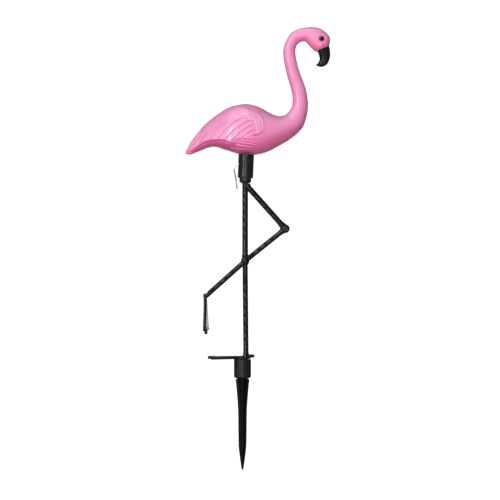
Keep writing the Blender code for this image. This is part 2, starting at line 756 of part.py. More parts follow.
def make_leg_frame(parts, cutters, material):
    """Straight thigh, bent thigh, knee and shin, moulded flat in one piece."""
    plug_top = HOUSING_FOOT + HOUSING_AXIS * LEG_PLUG_LENGTH
    frame = rod("leg_frame", HUB, HOUSING_FOOT + HOUSING_AXIS * SEAM_GAP,
                LEG_RADIUS, LEG_RADIUS, parts)
    plug_foot = HOUSING_FOOT - HOUSING_AXIS * FORK_DROP / 2
    tilt_drop = STEP_RADIUS * math.tan(HOUSING_LEAN)
    fork_top = FORK + Vector((0.0, 0.0, FORK_DROP - SEAM_GAP - tilt_drop))
    pieces = [
        rod("plug", plug_foot, plug_top, LEG_PLUG_RADIUS, LEG_PLUG_RADIUS, cutters, roll=0.10),
        rod("stub", FORK, fork_top, LEG_RADIUS * STUB_SHARE, LEG_RADIUS * STUB_SHARE,
            cutters, roll=0.21),
        ball("fork_ball", FORK, (LEG_RADIUS * FORK_BALL_SHARE,) * 3, cutters),
        rod("bent_thigh", FORK, KNEE, LEG_RADIUS, LEG_RADIUS, cutters, roll=0.05),
        ball("knee_ball", KNEE, (KNEE_RADIUS,) * 3, cutters),
        rod("upper_shin", KNEE, HUB, SHIN_RADIUS, SHIN_RADIUS, cutters, roll=0.13),
        ball("hub_ball", HUB, (HUB_RADIUS, HUB_RADIUS, HUB_TALL), cutters),
        rod("lower_shin", HUB, ANKLE + up_shin() * SADDLE_SETBACK,
            SHIN_RADIUS, SHIN_RADIUS * SHIN_TAPER, cutters, roll=0.27),
    ]
    fuse(frame, pieces)
    finish(frame, material)
    bore = SHANK_PLUG_RADIUS + FIT_GAP
    low = HUB - Vector((0.0, 0.0, 2 * HUB_TALL))
    cut(frame, rod("shank_bore", low, shank_top() + Vector((0.0, 0.0, SHANK_PLUG_LENGTH + SEAM_GAP)),
                   bore, bore, cutters))
    bore = SHANK_RADIUS * SHANK_SEAT_SHARE
    cut(frame, rod("shank_seat", low, shank_top() + Vector((0.0, 0.0, SEAM_GAP)),
                   bore, bore, cutters))
    bore = ANKLE_PEG_RADIUS + FIT_GAP
    cut(frame, rod("ankle_bore", ANKLE, ANKLE + up_shin() * (ANKLE_PEG_LENGTH + SEAM_GAP),
                   bore, bore, cutters, sides=10))
    bore = ANKLE_BLOCK_RADIUS + SADDLE_GAP
    reach = Vector((0.0, 0.0, 2 * ANKLE_BLOCK_DROP))
    cut(frame, rod("ankle_saddle", ANKLE - reach, ANKLE + reach, bore, bore, cutters, sides=20))


def shank_top():
    """Where the standing shank's shoulder meets the hub."""
    return HUB - Vector((0.0, 0.0, HUB_TALL * HUB_SEAT_SHARE))


def up_shin():
    """Direction from the ankle up the bent leg's shin."""
    return (HUB - ANKLE).normalized()


def web_outline():
    """Plan of the web between three toes, heel at the origin, toes along -X."""
    steps = 24
    points = [(0.0, -HEEL_RADIUS), (0.0, HEEL_RADIUS)]
    rim = []
    for step in range(steps + 1):
        share = 2 * step / steps - 1
        angle = share * FOOT_SPREAD
        reach = 1.0 - (1.0 - SIDE_TOE_SHARE) * abs(share)
        reach -= WEB_SCALLOP_SHARE * math.sin(math.pi * abs(share)) ** 2
        reach -= WEB_SHORT_SHARE
        rim.append((-FOOT_LENGTH * reach * math.cos(angle),
                    -FOOT_LENGTH * reach * math.sin(angle)))
    return points + rim


def webbed_foot(name, group, tools):
    """Flat-bottomed foot with three webbed toes, underside at z = 0."""
    sunk = -TOE_RADIUS / 4
    foot = plate(name, web_outline(), sunk, WEB_THICKNESS, group)
    pieces = []
    for index, share in enumerate((-1, 0, 1)):
        angle = share * FOOT_SPREAD
        reach = FOOT_LENGTH * (SIDE_TOE_SHARE if share else 1.0)
        tip = Vector((-reach * math.cos(angle), reach * math.sin(angle), TOE_RADIUS * TOE_LIFT))
        heel = Vector((0.0, 0.0, TOE_RADIUS * TOE_LIFT))
        pieces.append(rod(f"toe_{index}", heel, tip, TOE_HEEL_RADIUS, TOE_RADIUS, tools, sides=10))
    fuse(foot, pieces)
    floor = block("foot_floor", (-2 * FOOT_LENGTH, -FOOT_LENGTH, -FOOT_LENGTH),
                  (FOOT_LENGTH, FOOT_LENGTH, 0.0), tools)
    boolean(foot, floor, "DIFFERENCE")
    fuse(foot, [])
    bpy.data.objects.remove(floor, do_unlink=True)
    return foot


def make_standing_leg(parts, cutters, material):
    """Shank with its webbed foot, hind toe and the plug for the collar."""
    heel = Vector((SHANK_FOOT_X, 0.0, 0.0))
    leg = webbed_foot("standing_leg", parts, cutters)
    leg.data.transform(Matrix.Translation(heel))
    top = shank_top()
    along = top - heel
    lean = Matrix.Translation(heel) @ along.to_track_quat("Z", "Y").to_matrix().to_4x4()
    profile = [(SHANK_PLUG_RADIUS, along.length + SHANK_PLUG_LENGTH),
               (SHANK_PLUG_RADIUS, along.length),
               (SHANK_RADIUS * SHANK_SHOULDER, along.length),
               (SHANK_RADIUS, along.length * 0.72),
               (SHANK_RADIUS, along.length * 0.28),
               (SHANK_FOOT_RADIUS, WEB_THICKNESS / 2)]
    hind = heel + Vector((HIND_TOE_LENGTH, 0.0, TOE_RADIUS * HIND_TOE_LIFT))
    pieces = [
        turned("shank", profile, lean, cutters, sides=ROUND_SIDES),
        rod("instep", heel + Vector((-TOE_RADIUS * 1.2, 0.0, WEB_THICKNESS / 2)),
            heel + Vector((-TOE_RADIUS * 0.2, 0.0, INSTEP_HEIGHT)),
            SHANK_FOOT_RADIUS * INSTEP_ROOT, SHANK_FOOT_RADIUS * INSTEP_TOP, cutters),
        rod("hind_toe", heel + Vector((0.0, 0.0, TOE_RADIUS * 1.7)), hind,
            TOE_RADIUS * HIND_TOE_ROOT, TOE_RADIUS, cutters, sides=12),
        ball("hind_tip", hind, (TOE_RADIUS,) * 3, cutters, sides=12, rows=8),
        rod("foot_plug", (0.0, 0.0, WEB_THICKNESS / 2), (0.0, 0.0, -FOOT_PLUG_LENGTH),
            FOOT_PLUG_RADIUS, FOOT_PLUG_RADIUS, cutters),
        rod("foot_boss", (0.0, 0.0, SEAM_GAP), (0.0, 0.0, WEB_THICKNESS),
            COLLAR_RADIUS * BOSS_LOW, COLLAR_RADIUS * BOSS_TOP, cutters, sides=24),
    ]
    fuse(leg, pieces)
    finish(leg, material)


def make_raised_foot(parts, cutters, material):
    """Webbed foot that hangs toes down from the ankle of the bent leg."""
    foot = webbed_foot("raised_foot", parts, cutters)
    foot.data.transform(Matrix.Translation((0.0, 0.0, -WEB_THICKNESS / 2)))
    hang = Matrix(((0.0, 0.0, 1.0, 0.0), (0.0, -1.0, 0.0, 0.0),
                   (1.0, 0.0, 0.0, 0.0), (0.0, 0.0, 0.0, 1.0)))
    turn = Matrix.Rotation(-RAISED_YAW, 4, "Z") @ Matrix.Rotation(-RAISED_TILT, 4, "Y")
    heel = ANKLE + Vector((0.0, 0.0, RAISED_HEEL_RISE))
    foot.data.transform(Matrix.Translation(heel) @ turn @ hang)
    pieces = [
        rod("ankle_block", ANKLE - Vector((0.0, 0.0, ANKLE_BLOCK_DROP)),
            ANKLE + Vector((0.0, 0.0, ANKLE_BLOCK_RISE)), TOE_RADIUS, ANKLE_BLOCK_RADIUS,
            cutters, sides=20, roll=0.11),
        rod("ankle_peg", ANKLE, ANKLE + up_shin() * ANKLE_PEG_LENGTH,
            ANKLE_PEG_RADIUS, ANKLE_PEG_RADIUS, cutters, sides=10),
    ]
    fuse(foot, pieces)
    finish(foot, material)


# Collar and spike

def make_collar(parts, cutters, material):
    """Plain sleeve between the foot and the spike, bored from both ends."""
    low = -COLLAR_HEIGHT
    top = -SEAM_GAP
    profile = [(COLLAR_RADIUS - COLLAR_EDGE, top), (COLLAR_RADIUS, top - COLLAR_EDGE),
               (COLLAR_RADIUS, low + COLLAR_CHAMFER),
               (COLLAR_RADIUS - COLLAR_CHAMFER, low)]
    collar = turned("spike_collar", profile, Matrix.Identity(4), parts)
    finish(collar, material)
    bore = FOOT_PLUG_RADIUS + FIT_GAP
    cut(collar, rod("foot_bore", (0.0, 0.0, -FOOT_PLUG_LENGTH - SEAM_GAP),
                    (0.0, 0.0, COLLAR_EDGE), bore, bore, cutters))
    bore = SPIKE_PLUG_RADIUS + FIT_GAP
    cut(collar, rod("spike_bore", (0.0, 0.0, low - COLLAR_CHAMFER),
                    (0.0, 0.0, low + SPIKE_PLUG_LENGTH + SEAM_GAP), bore, bore, cutters))


def spike_half(share):
    """Half width of the fins at a share of the way down the spike."""
    if share < SPIKE_WAIST_AT:
        fall = 1 - share / SPIKE_WAIST_AT
        return SPIKE_WAIST_HALF + (SPIKE_TOP_HALF - SPIKE_WAIST_HALF) * fall ** UPPER_CURVE
    if share < SPIKE_POINT_AT:
        run = (share - SPIKE_WAIST_AT) / (SPIKE_POINT_AT - SPIKE_WAIST_AT)
        return SPIKE_WAIST_HALF + (SPIKE_LOW_HALF - SPIKE_WAIST_HALF) * run
    run = (share - SPIKE_POINT_AT) / (1 - SPIKE_POINT_AT)
    return SPIKE_LOW_HALF + (SPIKE_TIP_HALF - SPIKE_LOW_HALF) * run ** POINT_CURVE


def spike_ring(share, height):
    """Cross section of four fins round a rounded core."""
    half = spike_half(share)
    fin = min(FIN_HALF, half * FIN_LIMIT)
    core = max(half * CORE_SHARE, fin * CORE_OVER_FIN) * math.sqrt(0.5)
    root = max(half * FIN_ROOT_AT, core)
    rim = fin * FIN_RIM
    points = []
    for quarter in range(4):
        turn = Matrix.Rotation(math.pi / 2 * quarter, 3, "Z")
        for x, y in ((core, -core), (root, -fin), (half, -rim), (half, rim), (root, fin)):
            points.append(turn @ Vector((x, y, 0.0)) + Vector((0.0, 0.0, height)))
    return points


def make_spike(parts, cutters, material):
    """Plug, neck, ring and four tapering fins that go into the soil."""
    neck_top = -COLLAR_HEIGHT
    ring_top = neck_top - SPIKE_NECK
    ring_low = ring_top - RING_HEIGHT
    rings = []
    for row in range(SPIKE_ROWS + 1):
        share = row / SPIKE_ROWS
        rings.append(spike_ring(share, ring_low + RING_HEIGHT / 2 - SPIKE_LENGTH * share))
    spike = loft("ground_spike", rings, parts)
    edge = RING_RADIUS * RING_EDGE
    turn_in = RING_HEIGHT * RING_ROUND
    ring_profile = [(edge, ring_top), (RING_RADIUS, ring_top - turn_in),
                    (RING_RADIUS, ring_low + turn_in), (edge, ring_low)]
    pieces = [
        turned("ring", ring_profile, Matrix.Identity(4), cutters),
        rod("spike_plug", (0.0, 0.0, neck_top + SPIKE_PLUG_LENGTH),
            (0.0, 0.0, ring_low), SPIKE_PLUG_RADIUS, SPIKE_PLUG_RADIUS, cutters),
    ]
    fuse(spike, pieces)
    finish(spike, material)


def main():
    clear_scene()
    parts = new_collection("solar_flamingo_garden_light")
    cutters = new_collection("cutters")
    pink = plastic("pink_plastic", (0.82, 0.25, 0.50), 0.28)
    black = plastic("black_gloss_plastic", (0.012, 0.012, 0.012), 0.25)
    charcoal = plastic("charcoal_plastic", (0.035, 0.034, 0.038), 0.42)
    spike_black = plastic("spike_plastic", (0.010, 0.010, 0.010), 0.50)
    eye_black = plastic("eye_black", (0.010, 0.004, 0.006), 0.10)
    cell_blue = plastic("solar_cell", (0.010, 0.014, 0.035), 0.15)
    film = plastic("clear_film", (0.85, 0.86, 0.85), 0.15)

    body, surface = make_body(parts, cutters, pink)
    make_panel(body, surface, parts, cutters, cell_blue)
    make_eyes(body, surface, parts, cutters, eye_black)
    make_beak(body, parts, cutters, black)
    housing = make_housing(parts, cutters, charcoal)
    make_pull_tab(housing, parts, cutters, film)
    make_leg_frame(parts, cutters, black)
    make_standing_leg(parts, cutters, black)
    make_raised_foot(parts, cutters, black)
    make_collar(parts, cutters, charcoal)
    make_spike(parts, cutters, spike_black)


main()
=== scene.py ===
"""Looks for the solar flamingo garden light: a fine piece over each solid of the part."""

import math
from contextlib import contextmanager

import bmesh
import bpy
import numpy as np
from mathutils import Matrix, Vector


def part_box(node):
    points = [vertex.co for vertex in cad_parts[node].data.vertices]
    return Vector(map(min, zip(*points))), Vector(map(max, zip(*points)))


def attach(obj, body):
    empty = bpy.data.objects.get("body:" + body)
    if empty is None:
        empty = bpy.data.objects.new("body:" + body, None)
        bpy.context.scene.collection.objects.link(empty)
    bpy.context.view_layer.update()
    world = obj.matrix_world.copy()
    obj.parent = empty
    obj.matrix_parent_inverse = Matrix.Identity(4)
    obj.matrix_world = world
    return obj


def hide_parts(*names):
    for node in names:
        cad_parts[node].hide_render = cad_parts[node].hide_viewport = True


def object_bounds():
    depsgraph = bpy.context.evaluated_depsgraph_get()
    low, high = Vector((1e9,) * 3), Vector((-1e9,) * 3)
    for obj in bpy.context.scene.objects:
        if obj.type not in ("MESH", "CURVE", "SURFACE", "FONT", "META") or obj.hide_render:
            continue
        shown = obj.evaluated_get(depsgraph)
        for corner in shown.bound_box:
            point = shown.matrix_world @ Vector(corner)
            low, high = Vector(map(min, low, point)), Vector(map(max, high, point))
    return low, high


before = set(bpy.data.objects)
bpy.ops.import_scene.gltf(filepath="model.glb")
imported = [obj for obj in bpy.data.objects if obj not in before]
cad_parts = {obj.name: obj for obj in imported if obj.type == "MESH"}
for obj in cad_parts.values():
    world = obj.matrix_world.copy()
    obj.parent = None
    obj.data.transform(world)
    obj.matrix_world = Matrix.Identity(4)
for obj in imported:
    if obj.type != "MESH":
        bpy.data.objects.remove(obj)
cad_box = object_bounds()

# Sizes in metres: the part's own, with the toe roots and the raised foot fitted finer
SEAM_GAP = 0.0003
BIRD_LENGTH = 0.1705
HOUSING_LEAN = math.radians(2.4)
HOUSING_RADIUS = 0.0091
HOUSING_LENGTH = 0.0268
HOUSING_PLUG = 0.0062
STEP_RADIUS = 0.0070
STEP_LENGTH = 0.0059
TAB_WIDTH = 0.0060
TAB_THICKNESS = 0.0003
HUB = Vector((0.0031, 0.0, 0.1149))
HOUSING_FOOT = HUB + Vector((0.0, 0.0, 0.0913))
FORK = HOUSING_FOOT + Vector((0.0031, 0.0, -0.0041))
KNEE = HUB + Vector((0.0471, 0.0, 0.0379))
ANKLE = HUB - Vector((0.0469, 0.0, 0.0420))
LEG_RADIUS = 0.0034
SHIN_RADIUS = 0.0030
KNEE_RADIUS = 0.0052
HUB_RADIUS = 0.0049
HUB_TALL = 0.0059
SHANK_RADIUS = 0.0030
SHANK_TOP = HUB.z - HUB_TALL * 0.80
FOOT_HEEL = Vector((0.0041, 0.0, 0.0))
FOOT_LENGTH = 0.0448
FOOT_SPREAD = math.radians(18.5)
SIDE_TOE_SHARE = 0.955
LOW_TOE_SHARE = 0.80        # height of the standing foot's side toes
WEB_THICKNESS = 0.0018
WEB_SCALLOP = 0.13
WEB_SHORT = 0.03
TOE_RADIUS = 0.0019
TOE_HEEL_RADIUS = 0.0018
HIND_TOE_LENGTH = 0.0082
RAISED_YAW = math.radians(6.0)
RAISED_TILT = math.radians(0.8)
RAISED_HEEL_BACK = 0.0005
RAISED_HEEL_RISE = 0.0010
ANKLE_BLOCK_RADIUS = 0.00225
ANKLE_BLOCK_RISE = 0.0039
ANKLE_BLOCK_DROP = 0.0090
PEG_RADIUS = 0.0013
SADDLE_SETBACK = 0.0012
SADDLE_GAP = 0.0005
COLLAR_RADIUS = 0.01005
COLLAR_HEIGHT = 0.0228
SPIKE_LENGTH = 0.1051
RING_TOP = -COLLAR_HEIGHT - 0.0009
RING_HEIGHT = 0.0022
RING_RADIUS = 0.0086

HOUSING_AXIS = Vector((math.sin(HOUSING_LEAN), 0.0, math.cos(HOUSING_LEAN)))
HOUSING_FRAME = Matrix.Translation(HOUSING_FOOT) @ Matrix.Rotation(HOUSING_LEAN, 4, "Y")
SEAT = HOUSING_FOOT + HOUSING_AXIS * (STEP_LENGTH + HOUSING_LENGTH)
SLIT_HEIGHT = STEP_LENGTH + HOUSING_LENGTH * 0.575

# Body and beak sections, as in the part: thousandths of the bird's length from its seat
BODY_SECTIONS = (
    (-420, 21, -418, 7, 5, 0.00, 0.00), (-401, 56, -377, 6, 25, 0.18, 0.00),
    (-367, 113, -329, 25, 54, 0.30, 0.00), (-277, 220, -229, 55, 123, 0.38, 0.00),
    (-160, 307, -129, 29, 170, 0.36, 0.10), (-91, 339, -74, 12, 183, 0.30, 0.22),
    (-12, 353, -9, 1, 188, 0.22, 0.26), (53, 345, 70, 3, 185, 0.16, 0.18),
    (111, 321, 153, 25, 170, 0.10, 0.06), (163, 292, 235, 68, 146, 0.05, 0.00),
    (208, 273, 307, 113, 120, 0.00, 0.00), (246, 273, 362, 160, 97, 0.00, 0.00),
    (280, 289, 399, 213, 77, 0.00, 0.00), (315, 344, 425, 334, 57, 0.00, 0.00),
    (313, 435, 409, 459, 50, 0.00, 0.00), (279, 557, 364, 585, 45, 0.00, 0.00),
    (255, 690, 339, 692, 42, 0.00, 0.00), (268, 776, 343, 748, 40, 0.00, 0.00),
    (325, 856, 367, 776, 41, 0.00, 0.00), (429, 883, 404, 784, 46, 0.00, 0.00),
    (507, 875, 437, 750, 57, 0.00, 0.00), (566, 829, 470, 719, 61, 0.00, 0.00),
    (578, 796, 486, 714, 56, 0.00, 0.00), (571, 753, 490, 719, 46, 0.00, 0.00),
)
BEAK_SECTIONS = (
    (571, 750, 490, 716, 38), (577, 718, 497, 698, 35), (578, 690, 503, 675, 32),
    (574, 664, 504, 658, 29), (557, 628, 495, 638, 23), (531, 611, 489, 631, 17),
    (507, 609, 484, 628, 11), (480, 617, 478, 625, 4),
)

# Feather lines in the side view, in the same shares
FLIGHT_GROOVES = (
    ((-300, 178), (-372, 44), 0.06, 0.25), ((-263, 163), (-323, 71), 0.08, 0.85),
    ((-116, 243), (-254, 101), 0.095, 0.80), ((-8, 265), (-201, 107), 0.09, 0.90),
    ((31, 243), (-149, 107), 0.07, 1.0), ((50, 216), (-103, 102), 0.05, 1.15),
    ((58, 181), (-32, 121), 0.04, 1.15), ((63, 146), (-18, 116), 0.03, 0.8),
)
WING_EDGE = ((-415, 13), (-371, 37), (-324, 69), (-292, 92), (-256, 104), (-206, 109),
             (-149, 108), (-118, 92), (-92, 84), (-60, 92))
COVERT_EDGE = ((-92, 308), (-64, 295), (-39, 284), (7, 270), (21, 248), (56, 235),
               (58, 219), (69, 196), (72, 159))
SHOULDER_EDGE = ((40, 316), (84, 300), (116, 265), (137, 221), (134, 190), (118, 163),
                 (88, 146), (58, 138))
SCALE_LINES = (((60, 275), (84, 250), (96, 222), (92, 196)),
               ((84, 290), (106, 258), (116, 226), (117, 200)),
               ((38, 268), (52, 262), (66, 262)))
FAN_LINES = (((-45, 112), (42, 100), (108, 87)), ((-59, 96), (28, 84), (100, 70)),
             ((-92, 80), (12, 65), (80, 52)), ((-126, 58), (-40, 48), (38, 40)))
LIP_LINE = ((-154, 82), (-110, 72), (-80, 72))
EYE_CREASE = ((529, 775), (533, 762), (541, 745))
SHARE = BIRD_LENGTH / 1000.0
CREST_FIT = 0.999           # keeps the smooth skin inside the faceted solid's box

# Relief pressed into the bird's skin: heights, depths and widths in metres
GROOVE_DEPTH, GROOVE_WIDTH = 0.00034, 0.00065
FEATHER_LIFT, FEATHER_EXTRA = 0.00035, 0.00065
TAIL_LIFT, TAIL_FADE = 0.0006, 0.006
EDGE_LIFT, EDGE_FADE = 0.0007, 0.0060
FLANK_DRAW, FLANK_FADE = 0.0009, 0.0050
COVERT_LIFT = 0.00115
SCALLOP_DEPTH, SCALLOP_COUNT = 0.0005, 6
SHOULDER_CREASE = 0.00045
LIP_LIFT = 0.0005
EYE_HOLLOW_START, EYE_HOLLOW_REACH, EYE_HOLLOW_DEPTH = 0.0015, 0.0036, 0.00105
# Height, shift from the line and width of a ridge and of the groove beside it
SCALE_PROFILE = ((0.00042, -0.0007, 0.0011), (-0.00034, 0.0006, 0.0008))
FAN_PROFILE = ((0.00050, -0.0010, 0.0010), (-0.00042, 0.0003, 0.0007))

# Pull tab: metres back from its slit, metres down, and its yaw and roll in degrees
TAB_ROUTE = (
    (-0.0040, 0.0, 0.0, 0.0), (0.0, 0.0, 0.0, 3.0), (0.0010, 0.0004, 1.0, 9.0),
    (0.0028, 0.0022, 4.0, 14.0), (0.0045, 0.0042, 9.0, 8.0), (0.0050, 0.0060, 13.0, 0.0),
    (0.0043, 0.0090, 16.0, 0.0), (0.0031, 0.0150, 17.0, 0.0), (0.0022, 0.0220, 16.0, 0.0),
    (0.0013, 0.0288, 15.0, 0.0),
)

RING_GROOVE_DEPTH, RING_GROOVE_HALF = 0.00014, 0.00045
MERGE_GAP = 0.000005

# Camera: level, square to the bird's side
CAMERA_PLACE = Vector((0.0088, -2.0, 0.1278))
CAMERA_LENS = 122.7


# Modelling helpers

def new_piece(name):
    """Name the object that was just added and hand it back."""
    piece = bpy.context.active_object
    piece.name = piece.data.name = name
    return piece


def pick_only(*pieces):
    """Select only these pieces, with the first as the active one."""
    bpy.ops.object.select_all(action="DESELECT")
    for piece in pieces:
        piece.select_set(True)
    bpy.context.view_layer.objects.active = pieces[0]


@contextmanager
def editing(kind=None, pick="SELECT"):
    """Edit mode on the active piece, with all or none of it selected."""
    bpy.ops.object.mode_set(mode="EDIT")
    if kind:
        bpy.ops.mesh.select_mode(type=kind)
    if pick:
        bpy.ops.mesh.select_all(action=pick)
    yield
    bpy.ops.object.mode_set(mode="OBJECT")


def pick_parts(piece, kind, wanted):
    """Select only the edges or faces of the active piece that pass a test."""
    with editing(kind, "DESELECT"):
        pass
    for part in piece.data.edges if kind == "EDGE" else piece.data.polygons:
        part.select = bool(wanted(part))


def settle(piece, angle=35.0):
    """Merge doubles, turn all faces outwards and smooth the round ones."""
    pick_only(piece)
    with editing():
        bpy.ops.mesh.remove_doubles(threshold=MERGE_GAP)
        bpy.ops.mesh.normals_make_consistent(inside=False)
    bpy.ops.object.shade_smooth_by_angle(angle=math.radians(angle))
    return piece


def close_ends(piece):
    """Merge the seam of a wrapped grid and close its open ends."""
    pick_only(piece)
    with editing("VERT"):
        bpy.ops.mesh.remove_doubles(threshold=MERGE_GAP)
        bpy.ops.mesh.select_all(action="SELECT")
        bpy.ops.mesh.fill_holes(sides=0)


def apply_modifier(piece, kind, **settings):
    """Add one modifier, set it and apply it."""
    pick_only(piece)
    step = piece.modifiers.new(kind.lower(), kind)
    for name, value in settings.items():
        setattr(step, name, value)
    bpy.ops.object.modifier_apply(modifier=step.name)


def carve(piece, cutter):
    """Cut a piece with a closed tool and drop the tool."""
    apply_modifier(piece, "BOOLEAN", operation="DIFFERENCE", object=cutter, solver="EXACT")
    bpy.data.objects.remove(cutter, do_unlink=True)


def joined(name, items):
    """Join loose pieces into one moulding."""
    pick_only(*items)
    bpy.ops.object.join()
    return new_piece(name)


def turned(name, profile, place=None, sides=48):
    """Draw a filled circle out along a profile of radius and height, ring by ring."""
    radius, height = profile[0]
    bpy.ops.mesh.primitive_circle_add(vertices=sides, radius=radius, fill_type="NGON")
    piece = new_piece(name)
    with editing("FACE"):
        bpy.ops.transform.translate(value=(0, 0, height))
        for next_radius, next_height in profile[1:]:
            rise, grow = (0, 0, next_height - height), next_radius / radius
            bpy.ops.mesh.extrude_region_move(TRANSFORM_OT_translate={"value": rise})
            bpy.ops.transform.resize(value=(grow, grow, 1), center_override=(0, 0, next_height))
            radius, height = next_radius, next_height
    piece.data.transform(place or Matrix.Identity(4))
    return settle(piece)


def rounded(radius, end, fillet, angles, side=1):
    """Profile that rounds in to its end, from the side above it, or with -1 from below."""
    return [(radius - fillet * (1 - math.cos(a)), end + side * fillet * (1 - math.sin(a)))
            for a in angles]


def between(start, end):
    """Frame at the start of a bar with its own Z towards the end, and its length."""
    along = Vector(end) - Vector(start)
    turn = along.to_track_quat("Z", "Y").to_matrix().to_4x4()
    return Matrix.Translation(start) @ turn, along.length


def facing(place, direction):
    """Frame at a place with its own Z along a direction."""
    return between(place, place + Vector(direction))[0]


def ringed_bar(name, start, end, radii, grooves=()):
    """Tube from one place to another with narrow moulded rings at set distances."""
    place, length = between(start, end)
    profile = [(radii[0], 0.0)]
    for middle in grooves:
        for share, sink in ((-1, 0), (-0.55, 0.7), (0, 1), (0.55, 0.7), (1, 0)):
            height = middle + RING_GROOVE_HALF * share
            radius = radii[0] + (radii[1] - radii[0]) * height / length
            profile.append((radius - RING_GROOVE_DEPTH * sink, height))
    profile.append((radii[1], length))
    return turned(name, profile, place, 40)


def bead(name, place, radii):
    """Rounded ball squashed to three radii."""
    bpy.ops.mesh.primitive_uv_sphere_add(segments=40, ring_count=24, radius=1.0)
    piece = new_piece(name)
    piece.data.transform(Matrix.Translation(place) @ Matrix.Diagonal((*radii, 1.0)))
    return settle(piece)


def slab(name, low, high, corner, bevel=0.0, segments=4, corner_segments=8):
    """Plate with rounded upright corners and softened edges."""
    low, high = Vector(low), Vector(high)
    size = high - low
    bpy.ops.mesh.primitive_cube_add(size=1.0)
    piece = new_piece(name)
    piece.data.transform(Matrix.Translation((low + high) / 2) @ Matrix.Diagonal((*size, 1.0)))

    def upright(edge):
        one, two = (piece.data.vertices[index].co for index in edge.vertices)
        return abs(one.z - two.z) > size.z / 2

    pick_parts(piece, "EDGE", upright)
    with editing(pick=None):
        bpy.ops.mesh.bevel(offset=corner, segments=corner_segments)
    if bevel:
        apply_modifier(piece, "BEVEL", width=bevel, segments=segments,
                       limit_method="ANGLE", angle_limit=math.radians(40))
    return settle(piece)


def set_places(piece, places):
    """Move every point of a piece to a given place."""
    piece.data.vertices.foreach_set("co", np.asarray(places, np.float32).ravel())
    piece.data.update()


def get_places(piece, normals=False):
    """Places of a piece's points, or their normals."""
    source, field = ((piece.data.vertex_normals, "vector") if normals
                     else (piece.data.vertices, "co"))
    values = np.zeros(len(source) * 3, np.float32)
    source.foreach_get(field, values)
    return values.reshape(-1, 3).astype(float)


def flat_grid(name, across, along):
    """Grid to bend into a surface, and each point's place on it from -1 to 1."""
    bpy.ops.mesh.primitive_grid_add(x_subdivisions=across, y_subdivisions=along, size=2)
    piece = new_piece(name)
    return piece, get_places(piece)


def paint(piece, name, values):
    """Keep one number for each point, for the material to read."""
    field = piece.data.attributes.new(name, "FLOAT", "POINT")
    field.data.foreach_set("value", np.asarray(values, np.float32))


def mark_edges(piece):
    """Record how sharply the surface turns at each point, for wear along the edges."""
    shape = bmesh.new()
    shape.from_mesh(piece.data)
    turn = np.zeros(len(shape.verts))
    for edge in shape.edges:
        if len(edge.link_faces) == 2:
            bend = edge.calc_face_angle_signed(0.0)
            for point in edge.verts:
                turn[point.index] = max(turn[point.index], bend)
    shape.free()
    paint(piece, "edge_turn", np.clip((turn - math.radians(14)) / math.radians(36), 0.0, 1.0))


def smooth_step(value, low, high):
    """Soft step from 0 to 1."""
    share = np.clip((value - low) / (high - low), 0.0, 1.0)
    return share * share * (3 - 2 * share)


def window(run, start, full, fade, end):
    """Soft window along a line: up from start to full, down from fade to end."""
    return smooth_step(run, start, full) * (1 - smooth_step(run, fade, end))


def tip_round(run, reach):
    """Growth on a quarter circle, from 0 at a tip to 1 at a reach from it."""
    return np.sqrt(np.clip(1 - (1 - np.minimum(run / reach, 1.0)) ** 2, 0.0, 1.0))


# Bird

def read_rows(table, places):
    """Values of a table of sections at fractional rows, on a smooth curve."""
    rows = np.array(table, float)
    last = len(rows) - 1
    index = np.minimum(places.astype(int), last - 1)
    share = (places - index)[:, None]
    before, here = rows[np.maximum(index - 1, 0)], rows[index]
    there, after = rows[index + 1], rows[np.minimum(index + 2, last)]
    bend = 2 * before - 5 * here + 4 * there - after
    twist = 3 * here - before - 3 * there + after
    return 0.5 * (2 * here + share * (there - before + share * (bend + share * twist)))


def even_rows(table, place_marks, spacings):
    """Fractional rows spread along a body at the wanted spacing, in metres."""
    fine = np.linspace(0.0, len(table) - 1, 4000)
    values = read_rows(table, fine) * SHARE
    upper = np.hypot(np.diff(values[:, 0]), np.diff(values[:, 1]))
    lower = np.hypot(np.diff(values[:, 2]), np.diff(values[:, 3]))
    middle = (fine[1:] + fine[:-1]) / 2
    weight = np.maximum(upper, lower) / np.interp(middle, place_marks, spacings)
    run = np.concatenate(([0.0], np.cumsum(weight)))
    return np.interp(np.linspace(0, run[-1], int(run[-1]) + 1), run, fine)


def wrapped_grid(name, rows, sides, refine=None):
    """Flat grid that is later wrapped round a body: x is the turn, y the row."""
    piece, flat = flat_grid(name, sides, len(rows) - 1)

    def row_at(height):
        return np.interp((height + 1) / 2 * (len(rows) - 1), range(len(rows)), rows)

    if refine:
        first, last, bands, cuts = refine

        def in_bands(face):
            turn = (face.center.x + 1) / 2
            near = any(low < turn < high for low, high in bands)
            return near and first < row_at(face.center.y) < last

        pick_parts(piece, "FACE", in_bands)
        with editing(pick=None):
            bpy.ops.mesh.subdivide(number_cuts=cuts)
        flat = get_places(piece)
    return piece, (flat[:, 0] + 1) * math.pi, row_at(flat[:, 1])


def wrap_skin(values, outwards, upwards, fit=1.0):
    """Places on a body's sections, for shares of -1 to 1 across and up each one."""
    blend = (1 + upwards) / 2
    x = values[:, 2] + (values[:, 0] - values[:, 2]) * blend
    z = values[:, 3] + (values[:, 1] - values[:, 3]) * blend
    x, z = (np.where(side > 0, side * fit, side) for side in (x, z))
    return np.array(SEAT) + np.column_stack((x, values[:, 4] * outwards, z)) * SHARE


def bird_skin(turn, place):
    """Smooth skin of the bird at a turn round the section and a fractional row."""
    values = read_rows(BODY_SECTIONS, place)
    up, out = np.cos(turn), np.sin(turn)
    power = np.where(up > 0, 1 - values[:, 6], 1.0)
    out_share = np.sign(out) * np.abs(out) ** power
    up_share = np.sign(up) * np.abs(up) ** power - values[:, 5] * out ** 2
    tip = tip_round(place, 0.30)
    return wrap_skin(values, out_share * tip, up_share * tip - (1 - tip) * 0.8, CREST_FIT)


